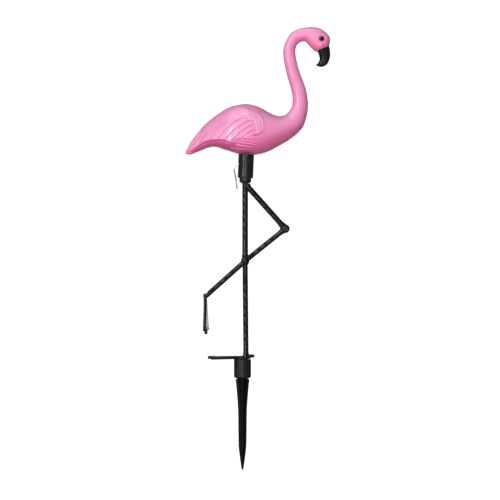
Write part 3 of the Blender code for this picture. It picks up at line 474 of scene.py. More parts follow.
def line_field(points, x, z):
    """Signed distance to a line, in metres, positive on its left, and the run along it."""
    points = np.array(points, float)
    steps = np.diff(points, axis=0)
    lengths = np.hypot(steps[:, 0], steps[:, 1])
    before = np.concatenate(([0.0], np.cumsum(lengths)))
    best = np.full(len(x), 1e9)
    signed, run = np.zeros(len(x)), np.zeros(len(x))
    for index, (step, length) in enumerate(zip(steps, lengths)):
        off_x, off_z = x - points[index, 0], z - points[index, 1]
        share = (off_x * step[0] + off_z * step[1]) / length ** 2
        low = -9.0 if index == 0 else 0.0
        high = 9.0 if index == len(steps) - 1 else 1.0
        held = np.clip(share, low, high)
        side_x, side_z = off_x - step[0] * held, off_z - step[1] * held
        gap = np.hypot(side_x, side_z)
        beyond = gap + length * np.abs(share - np.clip(share, 0, 1)) * 0.5
        sign = np.sign(step[0] * off_z - step[1] * off_x)
        closer = beyond < best
        best = np.where(closer, beyond, best)
        signed = np.where(closer, gap * sign, signed)
        run = np.where(closer, (before[index] + length * held) / before[-1], run)
    return signed * SHARE, run


def flowing(points, per_span=6):
    """Smooth curve through a few measured points."""
    places = np.linspace(0, len(points) - 1, (len(points) - 1) * per_span + 1)
    return read_rows(points, places)


def bowed(root, tip, bulge, count=18):
    """Points along a bowed groove."""
    share = np.linspace(0, 1, count)
    run = np.subtract(tip, root)
    bow = 4 * bulge * share * (1 - share)
    return np.column_stack((root[0] + run[0] * share + run[1] * bow,
                            root[1] + run[1] * share - run[0] * bow))


def rib(distance, width):
    """Soft ridge of height 1 on a line."""
    return np.exp(-(distance / width) ** 2)


def flight_relief(x, z, edge_gap):
    """Long feathers, each rising to a sharp step down on to the next one forward."""
    fields = [line_field(bowed(root, tip, bulge), x, z)
              for root, tip, bulge, _ in FLIGHT_GROOVES]
    first_gap, first_run = fields[0]
    lead = TAIL_LIFT * np.exp(first_gap / TAIL_FADE) * smooth_step(first_run, -0.10, 0.4)
    height = np.where(first_gap < 0, lead, 0.0)
    for (gap, run), (next_gap, next_run), groove in zip(fields, fields[1:], FLIGHT_GROOVES[1:]):
        on = (gap >= 0) & (next_gap < 0)
        across = np.clip(gap / np.maximum(gap - next_gap, 1e-9), 0, 1)
        along = run * (1 - across) + next_run * across
        swell = (0.06 + 0.94 * across ** 1.25) * window(along, -0.06, 0.16, 1.02, 1.10)
        height += np.where(on, (FEATHER_LIFT + FEATHER_EXTRA * groove[3]) * swell, 0.0)
    for (gap, run), groove in zip(fields, FLIGHT_GROOVES):
        reach = window(run, -0.02, 0.12, 0.98, 1.03)
        height -= GROOVE_DEPTH * groove[3] * reach * rib(gap - 0.0002, GROOVE_WIDTH)
    return height * smooth_step(edge_gap, -0.0003, 0.0004)


def wing_edge_relief(x, z):
    """Crisp lower edge of the wing with the flank drawn in beneath it."""
    gap, run = line_field(WING_EDGE, x, z)
    above = EDGE_LIFT * np.exp(-np.maximum(gap, 0) / EDGE_FADE)
    draw = FLANK_DRAW * (1 + smooth_step(run, 0.2, 0.6))
    below = -draw * np.exp(np.minimum(gap, 0) / FLANK_FADE)
    step = smooth_step(gap, -0.0015, 0.0008)
    height = (above * step + below * (1 - step)) * window(run, 0.03, 0.16, 0.86, 1.0)
    return height, np.where(run > 0.86, 1.0, gap)


def raised_lines(lines, fade, profile, x, z):
    """A low ridge with a groove beside it along each line."""
    height = np.zeros(len(x))
    for line in lines:
        gap, run = line_field(line, x, z)
        lift = sum(tall * rib(gap - shift, width) for tall, shift, width in profile)
        height += lift * window(run, -0.02, 0.25, fade, 1.02)
    return height


def covert_relief(x, z):
    """Shoulder patch of short scales that stands over the long feathers."""
    rear_gap, rear_run = line_field(flowing(COVERT_EDGE), x, z)
    front_gap, front_run = line_field(flowing(SHOULDER_EDGE), x, z)
    scallop = SCALLOP_DEPTH * np.abs(np.sin(rear_run * math.pi * SCALLOP_COUNT))
    rear = smooth_step(rear_gap + scallop, -0.0004, 0.0009)
    crisp = smooth_step(front_run, 0.70, 0.92)
    front = 1 - smooth_step(front_gap, -0.0034 + 0.0026 * crisp, 0.0010 - 0.0005 * crisp)
    patch = rear * front * window(rear_run, -0.02, 0.45, 1.02, 1.10)
    lift = COVERT_LIFT * (1 - 0.35 * smooth_step(rear_gap, 0.0, 0.006))
    lift += raised_lines([flowing(line) for line in SCALE_LINES], 0.75, SCALE_PROFILE, x, z)
    crease = SHOULDER_CREASE * rib(front_gap - 0.0004, 0.0009) * smooth_step(front_run, 0.72, 0.90)
    return lift * patch - crease * (front_run < 1.02), patch


def fan_relief(x, z):
    """Low ridges of the small feathers that fan out under the wing."""
    gap, run = line_field(LIP_LINE, x, z)
    lip = LIP_LIFT * rib(gap, 0.0008) * window(run, -0.05, 0.2, 0.7, 1.02)
    return lip + raised_lines(FAN_LINES, 0.62, FAN_PROFILE, x, z)


def make_bird_shell():
    """Body, neck and head in one moulding with its feathers, recess and socket."""
    rows = even_rows(BODY_SECTIONS, (0, 9, 13, 18, 23), (0.0013, 0.0013, 0.0016, 0.0014, 0.0009))
    wing_rows_and_turns = (1.0, 8.7, ((0.05, 0.41), (0.59, 0.95)), 2)
    shell, turn, place = wrapped_grid("flamingo_shell", rows, 120, wing_rows_and_turns)
    skin = bird_skin(turn, place)
    set_places(shell, skin)
    outward = get_places(shell, normals=True)
    middle = read_rows(BODY_SECTIONS, place)
    centre_z = SEAT.z + (middle[:, 1] + middle[:, 3]) / 2 * SHARE
    facing = outward[:, 1] * skin[:, 1] + outward[:, 2] * (skin[:, 2] - centre_z)
    outward *= np.where(facing.sum() < 0, -1.0, 1.0)

    # The lines were measured square to the camera, so each point is looked up where it is seen
    reach = -CAMERA_PLACE.y
    nearer = reach / (reach - np.abs(skin[:, 1]))
    seen_x = CAMERA_PLACE.x + (skin[:, 0] - CAMERA_PLACE.x) * nearer
    seen_z = CAMERA_PLACE.z + (skin[:, 2] - CAMERA_PLACE.z) * nearer
    x, z = (seen_x - SEAT.x) / SHARE, (seen_z - SEAT.z) / SHARE
    on_flank = smooth_step(np.abs(outward[:, 1]), 0.10, 0.35) * (x < 200) * smooth_step(z, 5, 30)
    edge, edge_gap = wing_edge_relief(x, z)
    coverts, patch = covert_relief(x, z)
    under = (flight_relief(x, z, edge_gap) + fan_relief(x, z)) * (1 - patch)
    relief = (under + edge + coverts) * on_flank
    for side in ("right", "left"):
        low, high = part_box(f"eye_{side}")
        away = np.linalg.norm(skin - np.array((low + high) / 2), axis=1)
        share = np.clip((away - EYE_HOLLOW_START) / EYE_HOLLOW_REACH, 0, 1)
        relief -= EYE_HOLLOW_DEPTH * (1 - share ** 2) ** 2
        relief += 0.00016 * rib(share - 0.93, 0.10) * (share < 1)
    crease_gap, crease_run = line_field(EYE_CREASE, x, z)
    on_crease = window(crease_run, -0.1, 0.3, 0.8, 1.1) * (x > 450)
    relief -= 0.00035 * rib(crease_gap, 0.0011) * on_crease
    set_places(shell, skin + outward * relief[:, None])
    # Relief height kept on each point; the material paints shade into the grooves and hollows and
    # highlight on the ridges from it.
    paint(shell, "relief_for_painted_light", np.clip(0.5 + relief / 0.003, 0, 1))

    close_ends(shell)
    settle(shell)
    low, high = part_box("solar_panel")
    grow = Vector((SEAM_GAP, SEAM_GAP, SEAM_GAP))
    above = Vector((0, 0, 0.02))
    carve(shell, slab("recess_cutter", low - grow, high + grow + above, 0.0025))
    bore, top = HOUSING_RADIUS + SEAM_GAP, STEP_LENGTH + HOUSING_LENGTH
    carve(shell, turned("socket_cutter", [(bore, top - 0.009), (bore, top + HOUSING_PLUG)],
                        HOUSING_FRAME, sides=64))
    return settle(shell, 32)


def make_beak():
    """Hooked beak with the line between its halves pressed in."""
    rows = even_rows(BEAK_SECTIONS, (0, 7), (0.00055, 0.00045))
    beak, turn, place = wrapped_grid("beak_hook", rows, 72)
    groove = rib(np.abs(turn - math.pi) - math.radians(88), math.radians(6.0))
    draw = 1 - 0.17 * groove * window(place, 0.0, 0.5, 5.6, 6.6)
    draw *= tip_round(7 - place, 0.6)
    skin = wrap_skin(read_rows(BEAK_SECTIONS, place), draw * np.sin(turn), draw * np.cos(turn))
    end = BODY_SECTIONS[-1]
    upper, lower = np.array((end[0], 0, end[1])), np.array((end[2], 0, end[3]))
    inward = np.cross((0, 1, 0), upper - lower)
    inward = inward / np.linalg.norm(inward)
    inward = inward if inward[2] > 0 else -inward
    seam = np.array(SEAT) + (upper + lower) / 2 * SHARE - inward * SEAM_GAP
    depth = (skin - seam) @ inward
    skin = skin - np.outer(np.where(place == 0, depth, np.maximum(depth, 0)), inward)
    set_places(beak, skin)
    close_ends(beak)
    return settle(beak, 40)


def make_eye(side):
    """Glossy bead with a flat pupil and a fine ring pressed round it."""
    low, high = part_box(f"eye_{side}")
    centre = (low + high) / 2
    radius = (high.x - low.x) / 2
    sign = 1 if centre.y > 0 else -1
    bpy.ops.mesh.primitive_uv_sphere_add(segments=48, ring_count=40, radius=radius)
    eye = new_piece(f"eye_bead_{side}")
    local = get_places(eye)
    angle = np.arccos(np.clip(local[:, 2] / radius, -1, 1))
    ring = 1 - 0.045 * rib(angle - math.radians(34), math.radians(5))
    flat = 1 - 0.030 * (1 - smooth_step(angle, math.radians(6), math.radians(32)))
    set_places(eye, local * (ring * flat)[:, None])
    paint(eye, "pupil", 1 - smooth_step(angle, math.radians(32), math.radians(37)))
    out = Vector((0.10, sign, 0.05)).to_track_quat("Z", "Y").to_matrix().to_4x4()
    eye.data.transform(Matrix.Translation(centre) @ out)
    return settle(eye, 60)


# Solar panel

def make_panel():
    """Panel tray with a raised lip and four cells set in it."""
    low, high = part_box("solar_panel")
    tray = slab("panel_tray", low, high, 0.0022, 0.00015)
    lip = 0.0011
    inner_low, inner_high = low + Vector((lip, lip, 0)), high - Vector((lip, lip, 0))
    carve(tray, slab("tray_cutter", (inner_low.x, inner_low.y, high.z - 0.00035),
                     (inner_high.x, inner_high.y, high.z + 0.001), 0.0012))
    count, gap = 4, 0.00035
    pitch = (inner_high.x - inner_low.x - gap) / count
    cells = [tray]
    for index in range(count):
        start = inner_low.x + gap + pitch * index
        cell = slab("cell", (start, inner_low.y + gap, high.z - 0.0006),
                    (start + pitch - gap, inner_high.y - gap, high.z - 0.00018),
                    0.0003, 0.00004, 2, 3)
        cells.append(cell)
    for item in cells:
        paint(item, "cell_face", np.full(len(item.data.vertices), float(item is not tray)))
    return settle(joined("solar_panel_face", cells), 30)


# Battery housing and pull tab

def make_housing():
    """Leaning barrel with softened rims, a rounded step and the slit for the tab."""
    seat = STEP_LENGTH + HOUSING_LENGTH
    top = seat + HOUSING_PLUG
    profile = [(HOUSING_RADIUS - 0.0008, top), (HOUSING_RADIUS, top - 0.0008),
               (HOUSING_RADIUS, seat), (HOUSING_RADIUS, STEP_LENGTH + 0.0015)]
    profile += rounded(HOUSING_RADIUS, STEP_LENGTH, 0.0006, (0.0, 0.4, 0.8, 1.2, 1.57))
    profile += [(STEP_RADIUS + 0.0003, STEP_LENGTH), (STEP_RADIUS, STEP_LENGTH - 0.0003)]
    profile += rounded(STEP_RADIUS, 0.0, 0.0026, (0.0, 0.26, 0.52, 0.79, 1.05, 1.31, 1.57))
    barrel = turned("housing_barrel", profile, HOUSING_FRAME, 96)
    for name, low, high in (
            ("slit_cutter", (-0.0110, -0.0033, -0.00045), (-0.0050, 0.0033, 0.00045)),
            ("rim_cutter", (-0.0110, -0.0040, -0.0011), (-0.00880, 0.0040, 0.0011))):
        cutter = slab(name, low, high, 0.0002)
        cutter.data.transform(HOUSING_FRAME @ Matrix.Translation((0, 0, SLIT_HEIGHT)))
        carve(barrel, cutter)
    return settle(barrel, 32)


def make_pull_tab():
    """Clear strip drawn through the slit, folded over once and twisting as it hangs."""
    rear = HOUSING_FRAME.to_3x3() @ Vector((-1, 0, 0))
    mouth = HOUSING_FOOT + HOUSING_AXIS * SLIT_HEIGHT + rear * HOUSING_RADIUS
    tab, flat = flat_grid("pull_tab_strip", 10, 72)
    last = len(TAB_ROUTE) - 1
    place = (flat[:, 1] + 1) / 2 * last
    back, drop, yaw, roll = read_rows(TAB_ROUTE, place).T
    ahead = read_rows(TAB_ROUTE, np.minimum(place + 0.05, last))
    behind = read_rows(TAB_ROUTE, np.maximum(place - 0.05, 0))
    level = np.zeros(len(place))
    along = np.column_stack((behind[:, 0] - ahead[:, 0], level, behind[:, 1] - ahead[:, 1]))
    along /= np.linalg.norm(along, axis=1)[:, None]
    yaw, roll = np.radians(yaw), np.radians(roll)
    side = np.column_stack((np.sin(yaw), np.cos(yaw), np.sin(roll)))
    side /= np.linalg.norm(side, axis=1)[:, None]
    centre = np.array(mouth) - np.column_stack((back, level, drop))
    cup = 0.00035 * (flat[:, 0] ** 2 - 0.4) * smooth_step(place, 2, 5)
    set_places(tab, centre + side * (flat[:, 0] * TAB_WIDTH / 2)[:, None]
               + np.cross(along, side) * cup[:, None])
    paint(tab, "strip_edge", np.abs(flat[:, 0]) ** 4)
    apply_modifier(tab, "SOLIDIFY", thickness=TAB_THICKNESS, offset=0.0)
    return settle(tab, 40)


# Legs

def spaced(first, count, pitch=0.0096):
    """Even places for the moulded rings of a leg."""
    return [first + pitch * index for index in range(count)]


def make_leg_frame():
    """Straight thigh, bent thigh, knee, shin, hub and ankle, moulded in one."""
    plug_low = HOUSING_FOOT - HOUSING_AXIS * 0.0020
    plug_high = HOUSING_FOOT + HOUSING_AXIS * 0.0080
    stub_top = FORK + Vector((0, 0, 0.0041 - SEAM_GAP - STEP_RADIUS * math.tan(HOUSING_LEAN)))
    straight_top = HOUSING_FOOT - HOUSING_AXIS * SEAM_GAP
    flare = [(KNEE_RADIUS * 0.93, 0.0012), (KNEE_RADIUS * 0.86, 0.0030),
             (LEG_RADIUS * 1.12, 0.0062), (LEG_RADIUS * 0.99, 0.0095)]
    shin_flare = [(KNEE_RADIUS * 0.88, 0.0014), (KNEE_RADIUS * 0.78, 0.0032),
                  (SHIN_RADIUS * 1.12, 0.0060), (SHIN_RADIUS * 0.99, 0.0090)]
    items = [
        ringed_bar("straight_thigh", HUB, straight_top, (LEG_RADIUS, LEG_RADIUS),
                   spaced(0.0269, 7, 0.0095)),
        ringed_bar("leg_plug", plug_low, plug_high, (0.0037, 0.0037)),
        ringed_bar("fork_stub", FORK, stub_top, (LEG_RADIUS * 0.97, LEG_RADIUS * 0.97)),
        bead("fork_ball", FORK, (LEG_RADIUS * 1.03,) * 3),
        ringed_bar("bent_thigh", FORK, KNEE, (LEG_RADIUS, LEG_RADIUS * 0.98), spaced(0.0146, 5)),
        turned("knee_flare", flare, between(KNEE, FORK)[0]),
        turned("shin_flare", shin_flare, between(KNEE, HUB)[0]),
        bead("knee_ball", KNEE, (KNEE_RADIUS, KNEE_RADIUS * 0.94, KNEE_RADIUS)),
        ringed_bar("upper_shin", KNEE, HUB, (SHIN_RADIUS, SHIN_RADIUS), spaced(0.0179, 4, 0.0097)),
        bead("hub_ball", HUB, (HUB_RADIUS, HUB_RADIUS, HUB_TALL)),
    ]
    shin_end = ANKLE + (HUB - ANKLE).normalized() * SADDLE_SETBACK
    lower_shin = ringed_bar("lower_shin", HUB, shin_end,
                            (SHIN_RADIUS, SHIN_RADIUS * 0.97), spaced(0.0190, 4, 0.0098))
    bore = ANKLE_BLOCK_RADIUS + SADDLE_GAP
    carve(lower_shin, turned("saddle_cutter", [(bore, -0.03), (bore, 0.03)],
                             Matrix.Translation(ANKLE), 64))
    peg_bore = PEG_RADIUS + SEAM_GAP
    carve(lower_shin, turned("peg_cutter", [(peg_bore, -0.002), (peg_bore, 0.0061)],
                             between(ANKLE, HUB)[0], 32))
    items.append(lower_shin)
    for side in (-1, 1):
        foot = KNEE + Vector((0, side * KNEE_RADIUS * 0.70, 0))
        rise = KNEE_RADIUS * 0.30
        cap = [(0.0029, 0.0), (0.0029, rise * 0.7), (0.0026, rise), (0.0017, rise),
               (0.0014, rise - 0.0003), (0.0010, rise - 0.0003), (0.0004, rise)]
        items.append(turned("knee_cap", cap, facing(foot, (0, side, 0)), 40))
    wide = LEG_RADIUS * 1.16
    band = [(LEG_RADIUS, 0.0), (wide, 0.0010), (wide, 0.0022), (LEG_RADIUS, 0.0034)]
    band_place = Matrix.Translation(HUB + Vector((0, 0, HUB_TALL * 0.70)))
    items.append(turned("hub_band", band, band_place, 40))
    return joined("leg_frame_bars", items)


def make_web(side_share):
    """Thin web between the toes, drawn in between them and lower at its sides."""
    web, flat = flat_grid("web", 40, 16)
    share, out = flat[:, 0], (flat[:, 1] + 1) / 2
    aside, bow = np.abs(share), np.sin(math.pi * np.abs(share))
    reach = 1 - (1 - SIDE_TOE_SHARE) * aside - WEB_SCALLOP * bow ** 2 - WEB_SHORT
    run = FOOT_LENGTH * (0.02 + (reach - 0.02) * out)
    level = TOE_RADIUS * 1.62 - 0.00020 * bow * out - TOE_RADIUS * 1.7 * (1 - side_share) * aside
    set_places(web, np.column_stack((-run * np.cos(share * FOOT_SPREAD),
                                     -run * np.sin(share * FOOT_SPREAD), level)))
    apply_modifier(web, "SOLIDIFY", thickness=WEB_THICKNESS * 0.60, offset=0.0)
    apply_modifier(web, "BEVEL", width=0.00022, segments=3, limit_method="ANGLE",
                   angle_limit=math.radians(50))
    return settle(web, 40)


def make_toe(share, side_share):
    """Knuckled toe with a blunt end and a flat underside, lower if it is a side one."""
    angle = share * FOOT_SPREAD
    length = FOOT_LENGTH * (SIDE_TOE_SHARE if share else 1.0)
    place = facing(Vector((0, 0, TOE_RADIUS * 0.8)), (-math.cos(angle), math.sin(angle), 0))
    profile = [(TOE_HEEL_RADIUS * 0.9, 0.0)]
    for portion in range(1, 25):
        along = portion / 25
        swell = 0.10 * max(0.0, math.sin(along * math.pi * 6.0)) ** 2
        radius = TOE_HEEL_RADIUS + (TOE_RADIUS - TOE_HEEL_RADIUS) * along
        profile.append((radius * (0.95 + swell), (length - TOE_RADIUS * 1.2) * along))
    profile += rounded(TOE_RADIUS * 1.06, length, 0.0006, (0.0, 0.4, 0.8, 1.2, 1.5), -1)
    toe = turned("toe", profile, place, 24)
    if share:
        toe.data.transform(Matrix.Diagonal((1.0, 1.0, side_share, 1.0)))
    with editing():
        bpy.ops.mesh.bisect(plane_co=(0, 0, 0), plane_no=(0, 0, 1), use_fill=True,
                            clear_inner=True)
    return toe


def make_webbed_foot(name, side_share):
    """Three knuckled toes, the side ones lower, with a thin web between, underside at z = 0."""
    web = make_web(side_share)
    foot = joined(name, [web] + [make_toe(share, side_share) for share in (-1, 0, 1)])
    return settle(foot, 40)


def make_standing_leg():
    """Ringed shank that flares into the webbed foot, with hind toe and collar plug."""
    top = Vector((HUB.x, 0, SHANK_TOP))
    heel = FOOT_HEEL
    foot = make_webbed_foot("foot", LOW_TOE_SHARE)
    foot.data.transform(Matrix.Translation(heel))
    place, along = between(heel, top)
    flare = [(0.0054, 0.0008), (0.0046, 0.0018), (0.0039, 0.0034), (0.0034, 0.0058),
             (SHANK_RADIUS * 1.04, 0.0092), (SHANK_RADIUS * 0.99, 0.0120)]
    hind = heel + Vector((HIND_TOE_LENGTH, 0, TOE_RADIUS * 1.8))
    hind_place, hind_length = between(heel + Vector((0, 0, TOE_RADIUS * 1.7)), hind)
    hind_toe = [(TOE_RADIUS * 1.1, 0.0), (TOE_RADIUS * 1.1, hind_length * 0.5),
                (TOE_RADIUS, hind_length)]
    hind_toe += rounded(TOE_RADIUS, hind_length + TOE_RADIUS, TOE_RADIUS,
                        (0.3, 0.6, 0.9, 1.2, 1.45), -1)
    boss = [(0.0086, SEAM_GAP), (0.0086, 0.0010), (0.0082, 0.0016), (0.0076, 0.0019),
            (0.0066, 0.0021)]
    plug = [(0.0046, -0.0090), (0.0050, -0.0086), (0.0050, 0.0012)]
    rings = spaced(along - SHANK_TOP + 0.0199, 8, 0.0095)
    return joined("standing_shank", [
        foot,
        ringed_bar("shank", heel + Vector((0, 0, 0.0009)), top, (0.0031, SHANK_RADIUS * 1.04),
                   rings),
        turned("instep", flare, place), turned("hind_toe", hind_toe, hind_place, 32),
        turned("foot_boss", boss, None, 64), turned("foot_plug", plug, None, 40)])


def make_raised_foot():
    """The same webbed foot, hung toes down from the ankle."""
    foot = make_webbed_foot("hung_foot", 1.0)
    foot.data.transform(Matrix.Translation((0, 0, -WEB_THICKNESS / 2)))
    hang = Matrix(((0, 0, 1, 0), (0, -1, 0, 0), (1, 0, 0, 0), (0, 0, 0, 1)))
    turn = Matrix.Rotation(-RAISED_YAW, 4, "Z") @ Matrix.Rotation(-RAISED_TILT, 4, "Y")
    heel = ANKLE + Vector((-RAISED_HEEL_BACK, 0, RAISED_HEEL_RISE))
    foot.data.transform(Matrix.Translation(heel) @ turn @ hang)
    rise, drop, radius = ANKLE_BLOCK_RISE, -ANKLE_BLOCK_DROP, ANKLE_BLOCK_RADIUS
    block = [(TOE_RADIUS * 0.6, drop), (TOE_RADIUS, drop + 0.0008), (radius * 0.95, -0.0010),
             (radius, 0.0010), (radius, rise - 0.0004), (radius - 0.0002, rise - 0.0001),
             (radius - 0.0005, rise)]
    rivet_foot = ANKLE + Vector((-0.0004, -radius * 0.80, -0.0058))
    rivet_place = facing(rivet_foot, (0, -1, 0))
    rivet = [(0.0009, 0.0), (0.0009, 0.0005), (0.0006, 0.0008), (0.0002, 0.0009)]
    return joined("raised_foot_web", [
        foot, turned("ankle_block", block, Matrix.Translation(ANKLE), 40),
        turned("ankle_peg", [(PEG_RADIUS, 0.0), (PEG_RADIUS, 0.0055)], between(ANKLE, HUB)[0], 24),
        turned("rivet", rivet, rivet_place, 20)])


# Collar and spike

def make_collar():
    """Sleeve with a softened rim above and a chamfer below."""
    low, top, rim = -COLLAR_HEIGHT, -SEAM_GAP, 0.0007
    turns = [math.pi / 2 - a for a in (0.4, 0.8, 1.2, 1.57)]
    profile = [(0.0056, top - 0.0003), (0.0056, top), (COLLAR_RADIUS - rim, top)]
    profile += rounded(COLLAR_RADIUS, top, rim, turns, -1)
    profile += [(COLLAR_RADIUS, low + 0.0018), (COLLAR_RADIUS - 0.0020, low + 0.0001),
                (COLLAR_RADIUS - 0.0023, low), (0.0066, low)]
    return turned("collar_sleeve", profile, None, 96)


def spike_half(share):
    """Half width of the fins at a share of the way down the spike."""
    upper = 0.0051 + 0.0029 * np.clip(1 - share / 0.38, 0, 1) ** 1.4
    middle = 0.0051 - 0.0004 * np.clip((share - 0.38) / 0.34, 0, 1)
    point = 0.0047 - 0.0037 * np.clip((share - 0.72) / 0.28, 0, 1) ** 1.25
    return np.where(share < 0.38, upper, np.where(share < 0.72, middle, point))


def make_spike():
    """Four tapering fins round a core, with the ring and plug that hold them."""
    fins, flat = flat_grid("fins", 80, 60)
    closing = flat[:, 0] > 0.9999
    quarter = (flat[:, 0] + 1) * 2
    share = (flat[:, 1] + 1) / 2
    half = spike_half(share)
    fin = np.minimum(0.0013, half * 0.55)
    core = np.maximum(half * 0.52, fin * 1.25) * 0.7071
    shoulder = np.maximum(half * 0.6, core)
    within = np.where(closing, 0.0, quarter - np.floor(quarter))
    marks = (0.0, 0.20, 0.25, 0.40, 0.60, 0.75, 0.80, 1.0)
    out = (core, shoulder, half * 0.93, half, half, half * 0.93, shoulder, core)
    aside = (-core, -fin, -fin * 0.9, -fin * 0.45, fin * 0.45, fin * 0.9, fin, core)
    along, across = np.zeros(len(half)), np.zeros(len(half))
    for index, (low, high) in enumerate(zip(marks, marks[1:])):
        on = (within >= low) & (within <= high)
        part = (within - low) / (high - low)
        along = np.where(on, out[index] + (out[index + 1] - out[index]) * part, along)
        across = np.where(on, aside[index] + (aside[index + 1] - aside[index]) * part, across)
    angle = np.floor(np.where(closing, 4.0, quarter)) * math.pi / 2
    set_places(fins, np.column_stack((along * np.cos(angle) - across * np.sin(angle),
                                      along * np.sin(angle) + across * np.cos(angle),
                                      RING_TOP - RING_HEIGHT / 2 - SPIKE_LENGTH * share)))
    close_ends(fins)
    settle(fins, 38)
    ring = [(RING_RADIUS * wide, RING_TOP - drop) for wide, drop in
            ((0.80, 0.0), (0.92, 0.0002), (1.0, 0.0008), (1.0, 0.0014), (0.92, 0.0020),
             (0.80, 0.0022))]
    plug = [(0.0058, -COLLAR_HEIGHT + 0.0100), (0.0062, -COLLAR_HEIGHT + 0.0096),
            (0.0062, RING_TOP - 0.0012)]
    return joined("spike_fins", [fins, turned("spike_ring", ring, None, 72),
                                 turned("spike_plug", plug, None, 40)])


# Materials

def tint(red, green, blue):
    """Shader colour from a plain 0 to 255 colour."""
    shares = [value / 255 for value in (red, green, blue)]
    return (*[value / 12.92 if value <= 0.04045 else ((value + 0.055) / 1.055) ** 2.4
              for value in shares], 1.0)


def place_node(tree, kind, links=None, **settings):
    """Add a shader node, set its fields and sockets, and link what feeds it."""
    item = tree.nodes.new("ShaderNode" + kind)
    for name, value in settings.items():
        setattr(item, name, value)
    for socket, source in (links or {}).items():
        if isinstance(source, bpy.types.NodeSocket):
            tree.links.new(source, item.inputs[socket])
        else:
            item.inputs[socket].default_value = source
    return item


def work_out(tree, operation, *values):
    """Math node on sockets or numbers."""
    return place_node(tree, "Math", dict(enumerate(values)),
                      operation=operation).outputs[0]


def times(tree, one, other):
    """Product of two sockets or numbers."""
    return work_out(tree, "MULTIPLY", one, other)


def spread(tree, value, low, high, to_low=0.0, to_high=1.0):
    """Map a value from one range to another, held at its ends."""
    links = {"Value": value, "From Min": low, "From Max": high, "To Min": to_low,
             "To Max": to_high}
    return place_node(tree, "MapRange", links, interpolation_type="SMOOTHSTEP").outputs[0]


def near_half(tree, value, outer, inner):
    """1 where a value is close to a half, fading out to an outer gap."""
    gap = work_out(tree, "ABSOLUTE", work_out(tree, "SUBTRACT", value, 0.5))
    return spread(tree, gap, outer, inner)


def own_place(tree):
    """Place on the piece, in metres."""
    return place_node(tree, "TexCoord").outputs["Object"]


def own_field(tree, name):
    """Value painted on the piece's points."""
    return place_node(tree, "Attribute", attribute_name=name).outputs["Fac"]


def split(tree, vector, index):
    """One of the three numbers of a vector."""
    return place_node(tree, "SeparateXYZ", {0: vector}).outputs[index]


def looks_up(tree):
    """How far the surface faces up, from -1 to 1."""
    return split(tree, place_node(tree, "NewGeometry").outputs["Normal"], 2)


def noise(tree, where, scale, detail, **more):
    """Noise of a scale and detail."""
    links = {"Vector": where, "Scale": scale, "Detail": detail, **more}
    return place_node(tree, "TexNoise", links).outputs[0]


def new_group(name, inputs, outputs):
    """Empty node group with named numbers in and out."""
    group = bpy.data.node_groups.new(name, "ShaderNodeTree")
    for label, value in inputs:
        socket = group.interface.new_socket(label, in_out="INPUT", socket_type="NodeSocketFloat")
        socket.default_value = value
    for label in outputs:
        group.interface.new_socket(label, in_out="OUTPUT", socket_type="NodeSocketFloat")
    given = group.nodes.new("NodeGroupInput").outputs
    made = group.nodes.new("NodeGroupOutput").inputs
    return group, given, made


def grain_group():
    """Soft clouding of the pigment and the fine grain of a polished mould."""
    group, given, made = new_group(
        "moulded_grain", (("Cloud Scale", 60.0), ("Grain Scale", 1800.0)),
        ("Cloud", "Gloss", "Grain"))
    where = own_place(group)
    cloud = noise(group, where, given[0], 4.0, Distortion=0.6)
    gloss = noise(group, where, times(group, given[0], 3.7), 5.0)
    group.links.new(spread(group, cloud, 0.30, 0.70), made["Cloud"])
    group.links.new(spread(group, gloss, 0.30, 0.70), made["Gloss"])
    group.links.new(noise(group, where, given[1], 2.0), made["Grain"])
    return group


def wear_mask(tree, scale):
    """Handling wear that breaks up along turned edges."""
    patchy = noise(tree, own_place(tree), scale, 6.0, Roughness=0.65)
    return times(tree, own_field(tree, "edge_turn"), spread(tree, patchy, 0.42, 0.62))


def dust_mask(tree, scale):
    """Thin dust that settles on faces that look up."""
    specks = noise(tree, own_place(tree), scale, 8.0, Roughness=0.7)
    return times(tree, spread(tree, looks_up(tree), 0.25, 1.0), spread(tree, specks, 0.45, 0.75))


def scuff_mask(tree, scale):
    """Hair-fine scuffs from handling."""
    stretched = place_node(tree, "Mapping", {
        "Vector": own_place(tree), "Rotation": (0.5, 0.9, 0.3), "Scale": (1, 14, 2)})
    return near_half(tree, noise(tree, stretched.outputs[0], scale, 3.0), 0.006, 0.0)


def mask_group(name, scale, amount, label, mask):
    """Group that puts out one mask of a scale, times an amount."""
    group, given, made = new_group(name, (("Scale", scale), ("Amount", amount)), (label,))
    group.links.new(times(group, mask(group, given[0]), given[1]), made[label])
    return group


def parting_group():
    """Thin witness line where the two mould halves met, in the plane of symmetry."""
    group, given, made = new_group("parting_line", (("Half Width", 0.0002),), ("Line",))
    across = work_out(group, "ABSOLUTE", split(group, own_place(group), 1))
    ratio = work_out(group, "DIVIDE", across, given[0])
    group.links.new(spread(group, ratio, 1.0, 0.3), made["Line"])
    return group


GROUPS = {}


def use_group(tree, name, **values):
    """Place a shared group in a material with this material's own values."""
    item = tree.nodes.new("ShaderNodeGroup")
    item.node_tree = GROUPS[name]
    for label, value in values.items():
        item.inputs[label.replace("_", " ")].default_value = value
    return item.outputs


def use_mask(tree, name, scale, amount):
    """Place a shared mask and hand back its one output."""
    return use_group(tree, name, Scale=scale, Amount=amount)[0]


def mix_colour(tree, share, first, second):
    """Blend two colours by a mask."""
    links = {0: share, 6: first, 7: second}
    return place_node(tree, "Mix", links, data_type="RGBA").outputs[2]


def laid_over(tree, base, mask, colour, most=None):
    """Lay a plain colour over a base by a mask, up to a share."""
    share = times(tree, mask, most) if most else mask
    return mix_colour(tree, share, base, tint(*colour))


def start_material(name, **sockets):
    """New material with its constants on the shader itself."""
    material = bpy.data.materials.new(name)
    material.use_nodes = True
    tree = material.node_tree
    shader = tree.nodes["Principled BSDF"]
    for label, value in sockets.items():
        shader.inputs[label.replace("_", " ")].default_value = value
    return material, tree, shader


